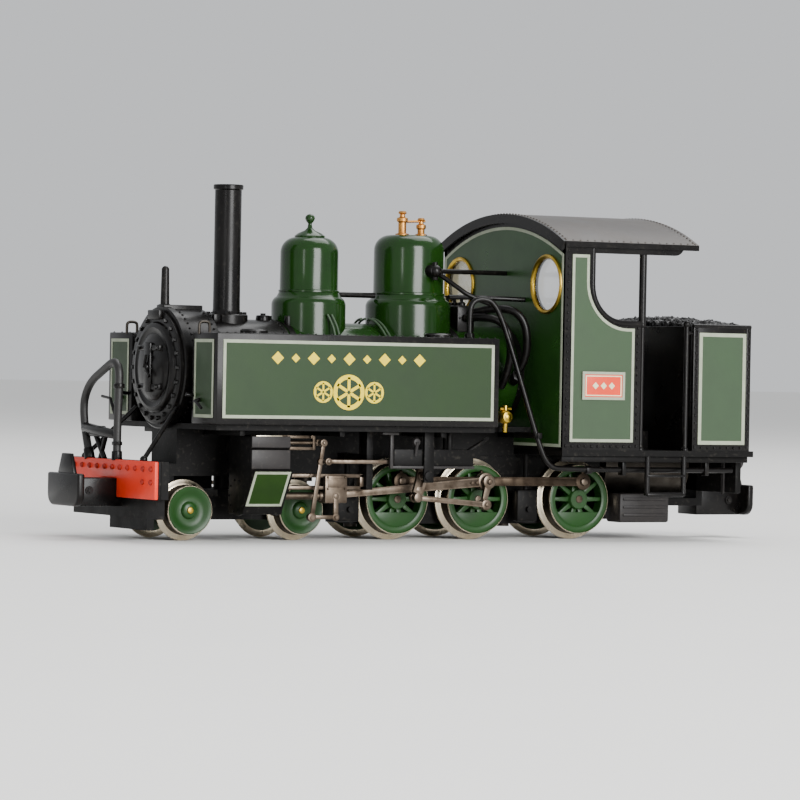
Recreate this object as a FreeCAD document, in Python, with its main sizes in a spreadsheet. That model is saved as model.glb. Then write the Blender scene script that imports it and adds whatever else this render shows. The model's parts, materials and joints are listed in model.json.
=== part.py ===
"""A model narrow-gauge side-tank locomotive, 4-6-0, for 9 mm gauge track.

Millimetres. +X points forwards (chimney end), +Y to the engine's left, +Z up. The origin is
below the middle of the engine, level with the bottoms of the wheel flanges.
"""
import math
import os
import re

import FreeCAD
import Part
import Sketcher

SIZES = {
    # whole engine
    "overall_length": 85.8,
    "running_gap": 0.05,
    "sheet": 0.6,
    # driving wheels and their axles
    "axle_front": 5.35,
    "axle_middle": -4.87,
    "axle_rear": -18.0,
    "axle_height": 4.52,
    "tread_radius": 3.92,
    "tyre_inside": 3.45,
    "flange_depth": 0.6,
    "flange_width": 0.5,
    "wheel_back": 3.7,
    "wheel_face": 5.9,
    "driver_axle_radius": 0.75,
    "hub_radius": 1.15,
    "spoke_width": 0.42,
    "crank_throw": 2.0,
    "crank_pin_radius": 0.4,
    # rods, each in its own plane outside the wheels
    "coupling_inside": 6.2,
    "coupling_outside": 6.8,
    "main_inside": 7.1,
    "main_outside": 7.7,
    "return_inside": 7.9,
    "return_outside": 8.4,
    "eccentric_inside": 8.55,
    "eccentric_outside": 9.05,
    "link_inside": 9.35,
    "link_outside": 9.9,
    "lever_inside": 9.85,
    "lever_outside": 10.15,
    "radius_inside": 10.35,
    "radius_outside": 10.75,
    "coupling_boss": 0.95,
    "big_end_radius": 1.0,
    "small_end_radius": 0.7,
    "return_pin_radius": 0.3,
    "return_pin_forward": 0.67,
    "return_pin_below": 0.52,
    "eccentric_boss": 0.6,
    # crosshead, slide bars and cylinders
    "piston_line": 4.95,
    "crosshead_left": 15.0,
    "crosshead_half": 1.35,
    "crosshead_bottom": 4.2,
    "crosshead_top": 7.2,
    "bar_inside": 8.0,
    "bar_outside": 9.3,
    "bar_depth": 0.4,
    "lower_bar_bottom": 5.65,
    "upper_bar_bottom": 6.95,
    "bracket_back": 10.6,
    "bracket_front": 11.4,
    "arm_inside": 9.45,
    "arm_outside": 9.75,
    "union_height": 2.7,
    "union_length": 3.1,
    "lever_top_x": 16.8,
    "lever_top_z": 10.7,
    "lever_pin_radius": 0.25,
    "cylinder_back": 21.8,
    "cylinder_front": 26.7,
    "cylinder_inside": 6.7,
    "cylinder_outside": 12.9,
    "chest_outside": 12.0,
    "chest_bottom": 7.9,
    "chest_top": 11.4,
    "panel_foot_y": 10.4,
    "panel_foot_z": 3.5,
    "bore_radius": 1.8,
    "bore_back": 22.2,
    "bore_front": 26.8,
    "piston_rod_radius": 0.4,
    "piston_y": 8.7,
    "piston_offset": 9.45,
    "piston_width": 0.5,
    # expansion link, radius rod and valve spindle
    "link_x": 4.5,
    "link_z": 7.2,
    "link_foot": 2.43,
    "link_head": 2.1,
    "link_half_width": 0.6,
    "radius_rod_z": 8.7,
    "radius_rod_back": 4.0,
    "radius_rod_front": 16.9,
    "spindle_y": 9.1,
    "spindle_radius": 0.25,
    "spindle_back": 16.2,
    "spindle_front": 22.9,
    "hanger_inside": 10.95,
    "hanger_outside": 11.35,
    # bogie
    "bogie_centre": 23.9,
    "bogie_axle_front": 30.6,
    "bogie_axle_rear": 17.2,
    "bogie_axle_height": 3.3,
    "bogie_tread_radius": 2.7,
    "bogie_axle_radius": 0.5,
    "bogie_plate_inside": 2.3,
    "bogie_plate_outside": 3.0,
    "guard_back": 34.3,
    "guard_front": 35.1,
    "guard_half_width": 4.7,
    "guard_bottom": 1.1,
    # main frame
    "frame_half_width": 3.1,
    "frame_back": -22.4,
    "frame_step": 10.4,
    "frame_bottom": 2.4,
    "frame_top": 9.5,
    "frame_nose_bottom": 6.9,
    "frame_nose_top": 8.2,
    "frame_rear_end": -36.3,
    "cradle_bottom": 3.7,
    "cradle_top": 4.55,
    # motor and gears
    "shaft_height": 8.12,
    "worm_radius": 1.15,
    "worm_wheel_radius": 2.38,
    "worm_half_length": 2.2,
    "shaft_radius": 0.4,
    "motor_radius": 3.5,
    "motor_wall": 0.3,
    "motor_back": -34.2,
    "motor_front": -23.0,
    "armature_radius": 2.7,
    "motor_top": 11.75,
    # beams and couplers
    "beam_back": 36.75,
    "beam_front": 37.55,
    "beam_half_width": 11.5,
    "beam_bottom": 4.6,
    "beam_top": 8.6,
    "beam_notch_half": 2.05,
    "beam_notch_top": 6.6,
    "backing_back": 35.9,
    "backing_bottom": 2.5,
    "backing_half": 10.6,
    "coupler_half_width": 4.0,
    "coupler_plate": 1.1,
    "shank_half_width": 2.0,
    "lug_half_foot": 2.1,
    "lug_half_top": 1.05,
    "lug_height": 2.1,
    "lug_thickness": 0.8,
    "front_coupler_bottom": 3.6,
    "rear_coupler_bottom": 2.6,
    "coupler_height": 3.5,
    # footplate and floor
    "footplate_bottom": 9.56,
    "footplate_top": 10.22,
    "footplate_half": 13.5,
    "floor_bottom": 12.0,
    "floor_top": 12.6,
    "floor_half": 12.6,
    "floor_front": 31.0,
    # boiler and smokebox
    "boiler_z": 18.5,
    "boiler_radius": 5.25,
    "boiler_front": 18.0,
    "smokebox_radius": 6.4,
    "smokebox_front": 31.8,
    "smokebox_ring": 6.6,
    "door_radius": 5.0,
    "door_dish": 1.0,
    "chimney_x": 23.78,
    "chimney_radius": 1.47,
    "chimney_bore": 0.95,
    "chimney_lip": 1.65,
    "chimney_top": 38.5,
    "sand_dome_x": 13.7,
    "steam_dome_x": 1.2,
    "sand_dome_radius": 3.2,
    "steam_dome_radius": 3.9,
    "turret_back": -5.9,
    "turret_front": -3.65,
    "turret_half": 2.7,
    "turret_top": 26.0,
    # side tanks
    "tank_back": -2.9,
    "tank_front": 31.57,
    "tank_inside": 7.5,
    "tank_outside": 13.55,
    "tank_bottom": 12.6,
    "tank_top": 22.3,
    # cab and bunker
    "body_half": 13.5,
    "cab_front": -11.05,
    "cab_back": -21.06,
    "cab_side_top": 32.7,
    "cab_arch_rise": 3.3,
    "cab_cut_x": -14.7,
    "cab_cut_z": 24.3,
    "cab_cut_round": 4.2,
    "window_y": 9.7,
    "window_z": 28.5,
    "window_radius": 3.0,
    "window_ring": 3.35,
    "roof_back": -28.2,
    "roof_front": -10.5,
    "roof_half": 14.0,
    "roof_edge_z": 33.2,
    "roof_rise": 3.3,
    "roof_thickness": 0.5,
    "pillar_x": -21.4,
    "second_rail_x": -27.3,
    "rail_radius": 0.28,
    "bunker_front": -28.05,
    "bunker_back": -35.75,
    "bunker_top": 24.2,
    "coal_bottom": 21.8,
    "coal_shoulder": 24.5,
    "coal_top": 25.4,
    "plate_back": -18.9,
    "plate_front": -13.4,
    "plate_bottom": 15.8,
    "plate_top": 18.9,
    "step_back": -27.6,
    "step_front": -22.2,
    "step_bottom": 5.1,
    # pipes and rails
    "pipe_radius": 0.4,
    "hose_radius": 0.42,
    "standpipe_y": 1.3,
    "hose_y": -7.3,
    "hose_foot_y": -5.7,
    "stay_radius": 0.25,
}
DRIVERS = ("front", "middle", "rear")
SIDES = ("left", "right")

DOC = FreeCAD.newDocument("side_tank_locomotive")
SHEET = DOC.addObject("Spreadsheet::Sheet", "sizes")
NODES = []


def fill_sheet():
    """Write every driving dimension into the sheet, one row each, with its alias."""
    for row, (alias, size) in enumerate(SIZES.items(), start=1):
        SHEET.set(f"A{row}", alias)
        SHEET.set(f"B{row}", str(size))
        SHEET.setAlias(f"B{row}", alias)
    DOC.recompute()


def bound(text):
    """An expression in which every alias is read from the sheet."""
    return re.sub(r"[a-z][a-z_]*", lambda found: "sizes." + found[0], str(text))


def size(text):
    """The value of an expression of aliases, for shapes made by Part's own functions."""
    return float(SHEET.evalExpression(bound(text)))


def place(item, x="0", y="0", z="0"):
    """Bind an object's position to expressions."""
    item.setExpression("Placement.Base.x", bound(x))
    item.setExpression("Placement.Base.y", bound(y))
    item.setExpression("Placement.Base.z", bound(z))
    return item


def block(x0, x1, y0, y1, z0, z1):
    """A rectangular block between two opposite corners."""
    item = DOC.addObject("Part::Box", "block")
    item.setExpression("Length", bound(f"({x1}) - ({x0})"))
    item.setExpression("Width", bound(f"({y1}) - ({y0})"))
    item.setExpression("Height", bound(f"({z1}) - ({z0})"))
    return place(item, x0, y0, z0)


def rod(axis, x, y, z, radius, length):
    """A cylinder that starts at a point and runs along +X, +Y or +Z."""
    turns = {
        "x": FreeCAD.Rotation(FreeCAD.Vector(0, 1, 0), 90),
        "y": FreeCAD.Rotation(FreeCAD.Vector(1, 0, 0), -90),
        "z": FreeCAD.Rotation(),
    }
    item = DOC.addObject("Part::Cylinder", "rod")
    item.Placement = FreeCAD.Placement(FreeCAD.Vector(), turns[axis])
    item.setExpression("Radius", bound(radius))
    item.setExpression("Height", bound(length))
    return place(item, x, y, z)


def fuse(*items):
    """One solid from several that touch or overlap."""
    item = DOC.addObject("Part::MultiFuse", "fused")
    item.Shapes = list(items)
    return item


def cut(base, *tools):
    """A solid with one or more others taken away."""
    item = DOC.addObject("Part::Cut", "cut")
    item.Base = base
    item.Tool = tools[0] if len(tools) == 1 else fuse(*tools)
    return item


def tube(axis, x, y, z, outer, inner, length):
    """A hollow cylinder."""
    return cut(rod(axis, x, y, z, outer, length), rod(axis, x, y, z, inner, length))


def mirrored(item):
    """The same piece on the engine's other side."""
    twin = DOC.addObject("Part::Mirroring", "mirrored")
    twin.Source = item
    twin.Normal = FreeCAD.Vector(0, 1, 0)
    return twin


def feature(shape):
    """A piece whose shape Part's own functions made from the sheet's sizes."""
    item = DOC.addObject("Part::Feature", "piece")
    item.Shape = shape
    return item


def node(label, *items):
    """Name a finished piece, or a group of like pieces, and list it for export."""
    item = items[0]
    if len(items) > 1:
        item = DOC.addObject("Part::Compound", "group")
        item.Links = list(items)
    item.Label = label
    NODES.append(item)
    return item


def outline_body(role, corners):
    """A body with one sketch on an origin plane; its corners are bound to the sheet."""
    body = DOC.addObject("PartDesign::Body", "body")
    sketch = body.newObject("Sketcher::SketchObject", "outline")
    plane = [item for item in body.Origin.OriginFeatures if item.Role == role][0]
    sketch.AttachmentSupport = [(plane, "")]
    sketch.MapMode = "FlatFace"
    points = [FreeCAD.Vector(size(across), size(up), 0) for across, up in corners]
    count = len(points)
    for index, point in enumerate(points):
        sketch.addGeometry(Part.LineSegment(point, points[(index + 1) % count]), False)
    for index in range(count):
        sketch.addConstraint(
            Sketcher.Constraint("Coincident", index, 2, (index + 1) % count, 1))
    for index, (across, up) in enumerate(corners):
        for kind, text in (("DistanceX", across), ("DistanceY", up)):
            number = sketch.addConstraint(
                Sketcher.Constraint(kind, -1, 1, index, 1, size(text)))
            sketch.setExpression(f"Constraints[{number}]", bound(text))
    return body, sketch


def padded(role, corners, length, offset="0"):
    """A flat outline given thickness along the plane's positive axis."""
    body, sketch = outline_body(role, corners)
    pad = body.newObject("PartDesign::Pad", "pad")
    pad.Profile = sketch
    pad.Reversed = role == "XZ_Plane"
    pad.setExpression("Length", bound(length))
    along = {"YZ_Plane": "x", "XZ_Plane": "y", "XY_Plane": "z"}[role]
    return place(body, **{along: offset})


def turned(outline, x="0", y="0", z="0"):
    """A round piece: an outline of radius and height turned about a vertical axis."""
    body, sketch = outline_body("XZ_Plane", outline)
    spin = body.newObject("PartDesign::Revolution", "spin")
    spin.Profile = sketch
    spin.ReferenceAxis = (sketch, ["V_Axis"])
    spin.Angle = 360
    return place(body, x, y, z)


def point(x, y, z):
    """A point whose coordinates are expressions."""
    return FreeCAD.Vector(size(x), size(y), size(z))


def pipe(points, radius):
    """A round pipe or rod along straight runs, with an arc at each corner."""
    corners = [point(*entry) for entry in points]
    edges = []
    start = corners[0]
    for before, corner, after in zip(corners, corners[1:], corners[2:]):
        back = (before - corner).normalize()
        ahead = (after - corner).normalize()
        half_turn = (math.pi - back.getAngle(ahead)) / 2
        reach = 0.45 * min((before - corner).Length, (after - corner).Length)
        bend = reach / math.tan(half_turn)
        inward = (back + ahead).normalize()
        middle = corner + inward * (bend / math.cos(half_turn) - bend)
        enter = corner + back * reach
        leave = corner + ahead * reach
        edges.append(Part.LineSegment(start, enter).toShape())
        edges.append(Part.Arc(enter, middle, leave).toShape())
        start = leave
    edges.append(Part.LineSegment(start, corners[-1]).toShape())
    path = Part.Wire(edges)
    section = Part.Wire(Part.Circle(corners[0], corners[1] - corners[0], size(radius)).toShape())
    return path.makePipeShell([section], True, False)


def strap(ends, radii, y_inside, y_outside, holes):
    """A flat rod with rounded ends: a tapered bar between two bosses, each with its hole."""
    (x_a, z_a), (x_b, z_b) = ends
    low = FreeCAD.Vector(x_a, y_inside, z_a)
    high = FreeCAD.Vector(x_b, y_inside, z_b)
    across = (high - low).cross(FreeCAD.Vector(0, 1, 0)).normalize()
    neck = min(radii) * 0.62
    corners = [low + across * neck, low - across * neck, high - across * neck, high + across * neck]
    through = FreeCAD.Vector(0, y_outside - y_inside, 0)
    shape = Part.Face(Part.makePolygon(corners + corners[:1])).extrude(through)
    for centre, radius in zip((low, high), radii):
        shape = shape.fuse(Part.makeCylinder(radius, through.Length, centre, through))
    for centre, hole in zip((low, high), holes):
        if hole:
            shape = shape.cut(Part.makeCylinder(hole, through.Length, centre, through))
    return shape.removeSplitter()


def on_side(shape, side):
    """A left-hand shape, or its mirror image for the right."""
    if side == "left":
        return shape
    return shape.mirror(FreeCAD.Vector(), FreeCAD.Vector(0, 1, 0))


# ---------------------------------------------------------------- cranks and rod ends


def crank_angle(side):
    """Turn of each side's cranks from straight up: the right side is a quarter turn ahead."""
    return 0.0 if side == "left" else 90.0


def about_axle(side, forward, above):
    """Place of a point fixed to a wheel, given with that side's crank straight up."""
    angle = math.radians(crank_angle(side))
    across = forward * math.cos(angle) + above * math.sin(angle)
    up = above * math.cos(angle) - forward * math.sin(angle)
    return across, size("axle_height") + up


def main_rod_length():
    """Distance from the left big end to the left small end."""
    return math.hypot(size("crosshead_left") - size("axle_middle"),
                      size("axle_height + crank_throw - piston_line"))


def crank_pin(side, axle="axle_middle"):
    """Centre of a crank pin at rest."""
    across, up = about_axle(side, 0.0, size("crank_throw"))
    return size(axle) + across, up


def crosshead_x(side):
    """Centre of a crosshead at rest, from the rod's length."""
    pin_x, pin_z = crank_pin(side)
    drop = pin_z - size("piston_line")
    return pin_x + math.sqrt(main_rod_length() ** 2 - drop ** 2)


def return_pin(side):
    """Centre of the return crank's pin at rest."""
    across, up = about_axle(side, size("return_pin_forward"), -size("return_pin_below"))
    return size("axle_middle") + across, up


def eccentric_length():
    """Length of an eccentric rod, set by the left side with its link nearly upright."""
    pin_x, pin_z = return_pin("left")
    foot_x = size("link_x") + 0.4
    foot_z = size("link_z") - math.sqrt(size("link_foot") ** 2 - 0.4 ** 2)
    return math.hypot(foot_x - pin_x, foot_z - pin_z)


def link_angle(side):
    """Tilt of an expansion link at rest, found where its foot meets the eccentric rod."""
    pin_x, pin_z = return_pin(side)
    length = eccentric_length()
    low, high = math.radians(-40), math.radians(60)
    for _ in range(60):
        middle = (low + high) / 2
        foot_x = size("link_x") - size("link_foot") * math.sin(middle)
        foot_z = size("link_z") - size("link_foot") * math.cos(middle)
        if math.hypot(foot_x - pin_x, foot_z - pin_z) > length:
            low = middle
        else:
            high = middle
    return middle


# ---------------------------------------------------------------- driving wheels


def tyre_ring(axle, back, face, inside, tread, flange_top, height):
    """A steel tyre on the left: a tread ring with its flange on the inner side."""
    flange = rod("y", axle, back, height, flange_top, "flange_width")
    tread_ring = rod("y", axle, back, height, tread, f"{face} - {back}")
    return cut(fuse(flange, tread_ring), rod("y", axle, back, height, inside, f"{face} - {back}"))


def wheel_centre(side, axle, pin_end):
    """Spoked centre with crank boss, balance weight and crank pin."""
    back, face = size("wheel_back + 0.2"), size("wheel_face - 0.1")
    inside, rim = size("tyre_inside"), size("tyre_inside - 0.45")
    hub, throw = size("hub_radius"), size("crank_throw")
    depth = FreeCAD.Vector(0, 1, 0)

    def disc(radius, low, high, x=0.0, z=0.0):
        return Part.makeCylinder(radius, high - low, FreeCAD.Vector(x, low, z), depth)

    web_back, web_face = back + 0.4, face - 0.35
    shape = disc(inside, back, face).cut(disc(rim, web_face, face)).cut(disc(rim, back, web_back))
    spokes = 10
    half_step = math.pi / spokes
    reach = (1.35, rim)
    for number in range(spokes):
        corners = []
        for radius, order in ((reach[0], (-1, 1)), (reach[1], (1, -1))):
            lean = half_step - math.asin(size("spoke_width / 2") / radius)
            corners += [FreeCAD.Vector(radius * math.sin(lean * turn), web_back - 1,
                                       radius * math.cos(lean * turn)) for turn in order]
        hub_side = Part.LineSegment(corners[0], corners[1]).toShape()
        rim_top = FreeCAD.Vector(0, web_back - 1, rim)
        rim_side = Part.Arc(corners[2], rim_top, corners[3]).toShape()
        flanks = [Part.LineSegment(corners[1], corners[2]).toShape(),
                  Part.LineSegment(corners[3], corners[0]).toShape()]
        window = Part.Face(Part.Wire([hub_side, flanks[0], rim_side, flanks[1]]))
        window = window.extrude(FreeCAD.Vector(0, 4, 0))
        window.rotate(FreeCAD.Vector(), depth, 360.0 * number / spokes)
        shape = shape.cut(window)
    weight = disc(rim + 0.1, back + 0.55, face - 0.1)
    weight = weight.cut(Part.makeBox(9, 9, 9, FreeCAD.Vector(-4.5, 0, -throw + 0.55)))
    shape = shape.fuse(weight)
    shape = shape.fuse(disc(hub, size("wheel_back"), size("wheel_face")))
    shape = shape.fuse(disc(0.9, back + 0.3, size("wheel_face + 0.15"), z=throw))
    shape = shape.fuse(disc(size("crank_pin_radius"), back + 1, size(pin_end), z=throw))
    shape = shape.removeSplitter()
    shape.rotate(FreeCAD.Vector(), depth, crank_angle(side))
    shape = on_side(shape, side)
    shape.translate(point(axle, "0", "axle_height"))
    return shape


def make_driving_wheels():
    for name in DRIVERS:
        axle = "axle_" + name
        tyre = tyre_ring(axle, "wheel_back", "wheel_face", "tyre_inside", "tread_radius",
                         "tread_radius + flange_depth", "axle_height")
        shaft = rod("y", axle, "-wheel_back", "axle_height", "driver_axle_radius", "2 * wheel_back")
        node(f"driver_tyres_{name}", shaft, tyre, mirrored(tyre))
        pin_end = "main_outside + 0.2" if name == "middle" else "coupling_outside + 0.15"
        centres = [feature(wheel_centre(side, axle, pin_end)) for side in SIDES]
        node(f"driver_centres_{name}", *centres)


def make_return_cranks():
    cranks = []
    for side in SIDES:
        ends = [crank_pin(side), return_pin(side)]
        y_in, y_out = size("return_inside"), size("return_outside")
        shape = strap(ends, (0.75, 0.55), y_in, y_out, (0, 0))
        x_pin, z_pin = return_pin(side)
        pin = Part.makeCylinder(size("return_pin_radius"), size("eccentric_outside + 0.1") - y_in,
                                FreeCAD.Vector(x_pin, y_in, z_pin), FreeCAD.Vector(0, 1, 0))
        cranks.append(feature(on_side(shape.fuse(pin).removeSplitter(), side)))
    node("return_cranks", *cranks)


# ---------------------------------------------------------------- rods


def make_coupling_rods():
    for side in SIDES:
        y_in, y_out = size("coupling_inside"), size("coupling_outside")
        pins = [crank_pin(side, "axle_" + name) for name in DRIVERS]
        hole = size("crank_pin_radius + running_gap")
        boss = size("coupling_boss")
        rear = strap((pins[2], pins[1]), (boss, boss), y_in, y_out, (hole, hole))
        front = strap((pins[1], pins[0]), (boss, boss), y_in, y_out, (hole, hole))
        shape = rear.fuse(front).removeSplitter()
        node(f"coupling_rod_{side}", feature(on_side(shape, side)))


def make_main_rods():
    for side in SIDES:
        ends = [crank_pin(side), (crosshead_x(side), size("piston_line"))]
        shape = strap(ends, (size("big_end_radius"), size("small_end_radius")),
                      size("main_inside"), size("main_outside"),
                      (size("crank_pin_radius + running_gap"), 0.3))
        node(f"main_rod_{side}", feature(on_side(shape, side)))


def make_eccentric_rods():
    for side in SIDES:
        tilt = link_angle(side)
        foot = (size("link_x") - size("link_foot") * math.sin(tilt),
                size("link_z") - size("link_foot") * math.cos(tilt))
        boss = size("eccentric_boss")
        shape = strap((return_pin(side), foot), (boss, boss),
                      size("eccentric_inside"), size("eccentric_outside"),
                      (size("return_pin_radius + running_gap"), 0.25))
        node(f"eccentric_rod_{side}", feature(on_side(shape, side)))


def make_crossheads():
    """Crosshead, piston rod and piston, with the drop arm and union link."""
    for side in SIDES:
        x = crosshead_x(side)
        line = size("piston_line")
        half, gap = size("crosshead_half"), size("running_gap")
        y_in, y_out = size("bar_inside"), size("bar_outside + running_gap")
        arm_in, arm_out = size("arm_inside"), size("arm_outside")
        bottom, top = size("crosshead_bottom"), size("crosshead_top")
        under_bars = size("lower_bar_bottom") - gap
        slipper = (size("lower_bar_bottom + bar_depth") + gap, size("upper_bar_bottom") - gap)
        shape = Part.makeBox(2 * half, arm_out - y_out, top - bottom,
                             FreeCAD.Vector(x - half, y_out, bottom))
        for low, high in ((bottom, under_bars), slipper):
            shape = shape.fuse(Part.makeBox(2 * half, y_out - y_in, high - low,
                                            FreeCAD.Vector(x - half, y_in, low)))
        along = FreeCAD.Vector(1, 0, 0)
        middle = FreeCAD.Vector(x, size("piston_y"), line)
        piston_x = x + size("piston_offset - piston_width / 2")
        shape = shape.fuse(Part.makeCylinder(size("piston_rod_radius"), piston_x - x, middle, along))
        shape = shape.fuse(Part.makeCylinder(size("bore_radius - running_gap"),
                                             size("piston_width"),
                                             FreeCAD.Vector(piston_x, middle.y, line), along))
        foot = size("union_height")
        shape = shape.fuse(Part.makeCylinder(0.6, arm_out - y_out + 0.2,
                                             FreeCAD.Vector(x, y_out - 0.2, line),
                                             FreeCAD.Vector(0, 1, 0)))
        shape = shape.fuse(Part.makeBox(0.7, arm_out - arm_in, line - foot + 0.25,
                                        FreeCAD.Vector(x - 0.35, arm_in, foot - 0.25)))
        pin_x = x + size("union_length")
        shape = shape.fuse(Part.makeBox(pin_x - x, arm_out - arm_in, 0.5,
                                        FreeCAD.Vector(x, arm_in, foot - 0.25)))
        for radius, end in ((0.4, arm_out), (size("lever_pin_radius"), size("lever_outside + 0.1"))):
            shape = shape.fuse(Part.makeCylinder(radius, end - arm_in,
                                                 FreeCAD.Vector(pin_x, arm_in, foot),
                                                 FreeCAD.Vector(0, 1, 0)))
        node(f"crosshead_{side}", feature(on_side(shape.removeSplitter(), side)))


def make_combination_levers():
    for side in SIDES:
        foot = (crosshead_x(side) + size("union_length"), size("union_height"))
        ends = (foot, (size("lever_top_x"), size("lever_top_z")))
        shape = strap(ends, (0.5, 0.42), size("lever_inside"), size("lever_outside"),
                      (size("lever_pin_radius + running_gap"), 0))
        node(f"combination_lever_{side}", feature(on_side(shape, side)))


def make_expansion_links():
    """A slotted link that rocks on its trunnion."""
    for side in SIDES:
        y_in, y_out = size("link_inside"), size("link_outside")
        foot, head = size("link_foot"), size("link_head")
        half = size("link_half_width")
        across = FreeCAD.Vector(0, 1, 0)
        shape = Part.makeBox(2 * half, y_out - y_in, foot + head,
                             FreeCAD.Vector(-half, y_in, -foot))
        shape = shape.fuse(Part.makeCylinder(half, y_out - y_in,
                                             FreeCAD.Vector(0, y_in, -foot), across))
        for low, high in ((-foot + 0.8, -0.45), (0.45, head - 0.3)):
            shape = shape.cut(Part.makeBox(0.4, 2, high - low, FreeCAD.Vector(-0.2, y_in - 1, low)))
        shape = shape.fuse(Part.makeCylinder(size("return_pin_radius"),
                                             size("hanger_outside") - y_in,
                                             FreeCAD.Vector(0, y_in, 0), across))
        shape = shape.removeSplitter()
        shape.rotate(FreeCAD.Vector(), across, math.degrees(link_angle(side)))
        shape = on_side(shape, side)
        shape.translate(point("link_x", "0", "link_z"))
        node(f"expansion_link_{side}", feature(shape))


def make_radius_rods():
    """Radius rod and the valve spindle that it drives."""
    for side in SIDES:
        bar = block("radius_rod_back", "radius_rod_front", "radius_inside", "radius_outside",
                    "radius_rod_z - 0.25", "radius_rod_z + 0.25")
        spindle = rod("x", "spindle_back", "spindle_y", "lever_top_z", "spindle_radius",
                      "spindle_front - spindle_back")
        fork = block("spindle_back", "spindle_back + 1.2", "spindle_y - 0.3", "spindle_y + 0.3",
                     "lever_top_z - 0.4", "lever_top_z + 0.4")
        group = [bar, fuse(spindle, fork)]
        if side == "right":
            group = [mirrored(item) for item in group]
        node(f"radius_rod_{side}", *group)


# ---------------------------------------------------------------- cylinders and slide bars


def make_cylinders():
    """Cylinder and valve chest castings; the outer face leans in towards its foot."""
    corners = [
        ("cylinder_inside", "panel_foot_z - 0.5"),
        ("panel_foot_y", "panel_foot_z - 0.5"),
        ("panel_foot_y", "panel_foot_z"),
        ("cylinder_outside", "chest_bottom - 0.2"),
        ("chest_outside", "chest_bottom"),
        ("chest_outside", "chest_top"),
        ("cylinder_inside", "chest_top"),
    ]
    casting = padded("YZ_Plane", corners, "cylinder_front - cylinder_back", "cylinder_back")
    bore = rod("x", "bore_back", "piston_y", "piston_line", "bore_radius", "bore_front - bore_back")
    gland = rod("x", "cylinder_back", "piston_y", "piston_line",
                "piston_rod_radius + running_gap", "bore_back - cylinder_back")
    valve = rod("x", "cylinder_back", "spindle_y", "lever_top_z",
                "spindle_radius + running_gap", "2.4")
    shape = cut(casting, bore, gland, valve)
    saddle = block("cylinder_back + 0.8", "cylinder_front - 0.8", "4.4", "cylinder_inside",
                   "frame_top - 1", "chest_top")
    left = fuse(shape, saddle)
    node("cylinders", left, mirrored(left))


def make_slide_bars():
    """Slide bars, the bracket that carries them, valve guides and the link's hanger."""
    upper, lower = [block("bracket_front", "cylinder_back", "bar_inside", "bar_outside",
                          bottom, f"{bottom} + bar_depth")
                    for bottom in ("upper_bar_bottom", "lower_bar_bottom")]
    plate = block("bracket_back", "bracket_front", "bar_inside", "bar_outside + 0.5",
                  "lower_bar_bottom", "frame_top")
    arm = block("bracket_back", "bracket_front", "frame_half_width", "bar_outside + 0.5",
                "8.7", "frame_top")
    post = block("bracket_back", "bracket_front", "bar_inside", "bar_outside + 0.5",
                 "frame_top", "floor_bottom")
    bars = fuse(upper, lower, plate, arm, post)
    guides = [
        block("17.7", "cylinder_back", "spindle_y - 0.2", "spindle_y + 0.3",
              "lever_top_z + 0.45", "lever_top_z + 0.8"),
        block("17.7", "cylinder_back", "spindle_y - 0.2", "spindle_y + 0.3",
              "lever_top_z - 0.8", "lever_top_z - 0.45"),
    ]
    bearing = cut(
        block("link_x - 0.6", "link_x + 0.6", "hanger_inside", "hanger_outside",
              "link_z - 0.7", "floor_bottom"),
        rod("y", "link_x", "hanger_inside", "link_z", "return_pin_radius + running_gap", "1"))
    left = [bars, bearing] + guides
    node("slide_bars", *left, *[mirrored(item) for item in left])


# ---------------------------------------------------------------- chassis


def make_chassis_frame():
    corners = [
        ("frame_back", "frame_bottom"),
        ("frame_step", "frame_bottom"),
        ("frame_step", "frame_nose_bottom"),
        ("beam_back", "frame_nose_bottom"),
        ("beam_back", "frame_nose_top"),
        ("floor_front", "frame_nose_top"),
        ("floor_front", "frame_top"),
        ("frame_back", "frame_top"),
    ]
    main = padded("XZ_Plane", corners, "2 * frame_half_width", "-frame_half_width")
    cradle = block("frame_rear_end", "frame_back", "-frame_half_width", "frame_half_width",
                   "cradle_bottom", "cradle_top")
    rear_wall = block("frame_rear_end", "frame_rear_end + 0.8", "-frame_half_width",
                      "frame_half_width", "cradle_bottom", "footplate_bottom")
    worm_tunnel = block("frame_back", "0.5", "-1.6", "1.6", "shaft_height - 1.4", "frame_top")
    wheel_pit = block("axle_middle - 2.6", "axle_middle + 2.6", "-1", "1",
                      "frame_bottom", "shaft_height")
    pivot = rod("z", "bogie_centre", "0", "frame_nose_bottom", "1.05", "1.6")
    tools = [worm_tunnel, wheel_pit, pivot]
    for name in DRIVERS:
        axle = "axle_" + name
        bearing = "driver_axle_radius + running_gap"
        tools.append(rod("y", axle, "-frame_half_width", "axle_height", bearing,
                         "2 * frame_half_width"))
        tools.append(block(f"{axle} - {bearing.replace(' + ', ' - ')}", f"{axle} + {bearing}",
                           "-frame_half_width", "frame_half_width",
                           "frame_bottom", "axle_height"))
    node("chassis_frame", cut(fuse(main, cradle, rear_wall), *tools))


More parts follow.
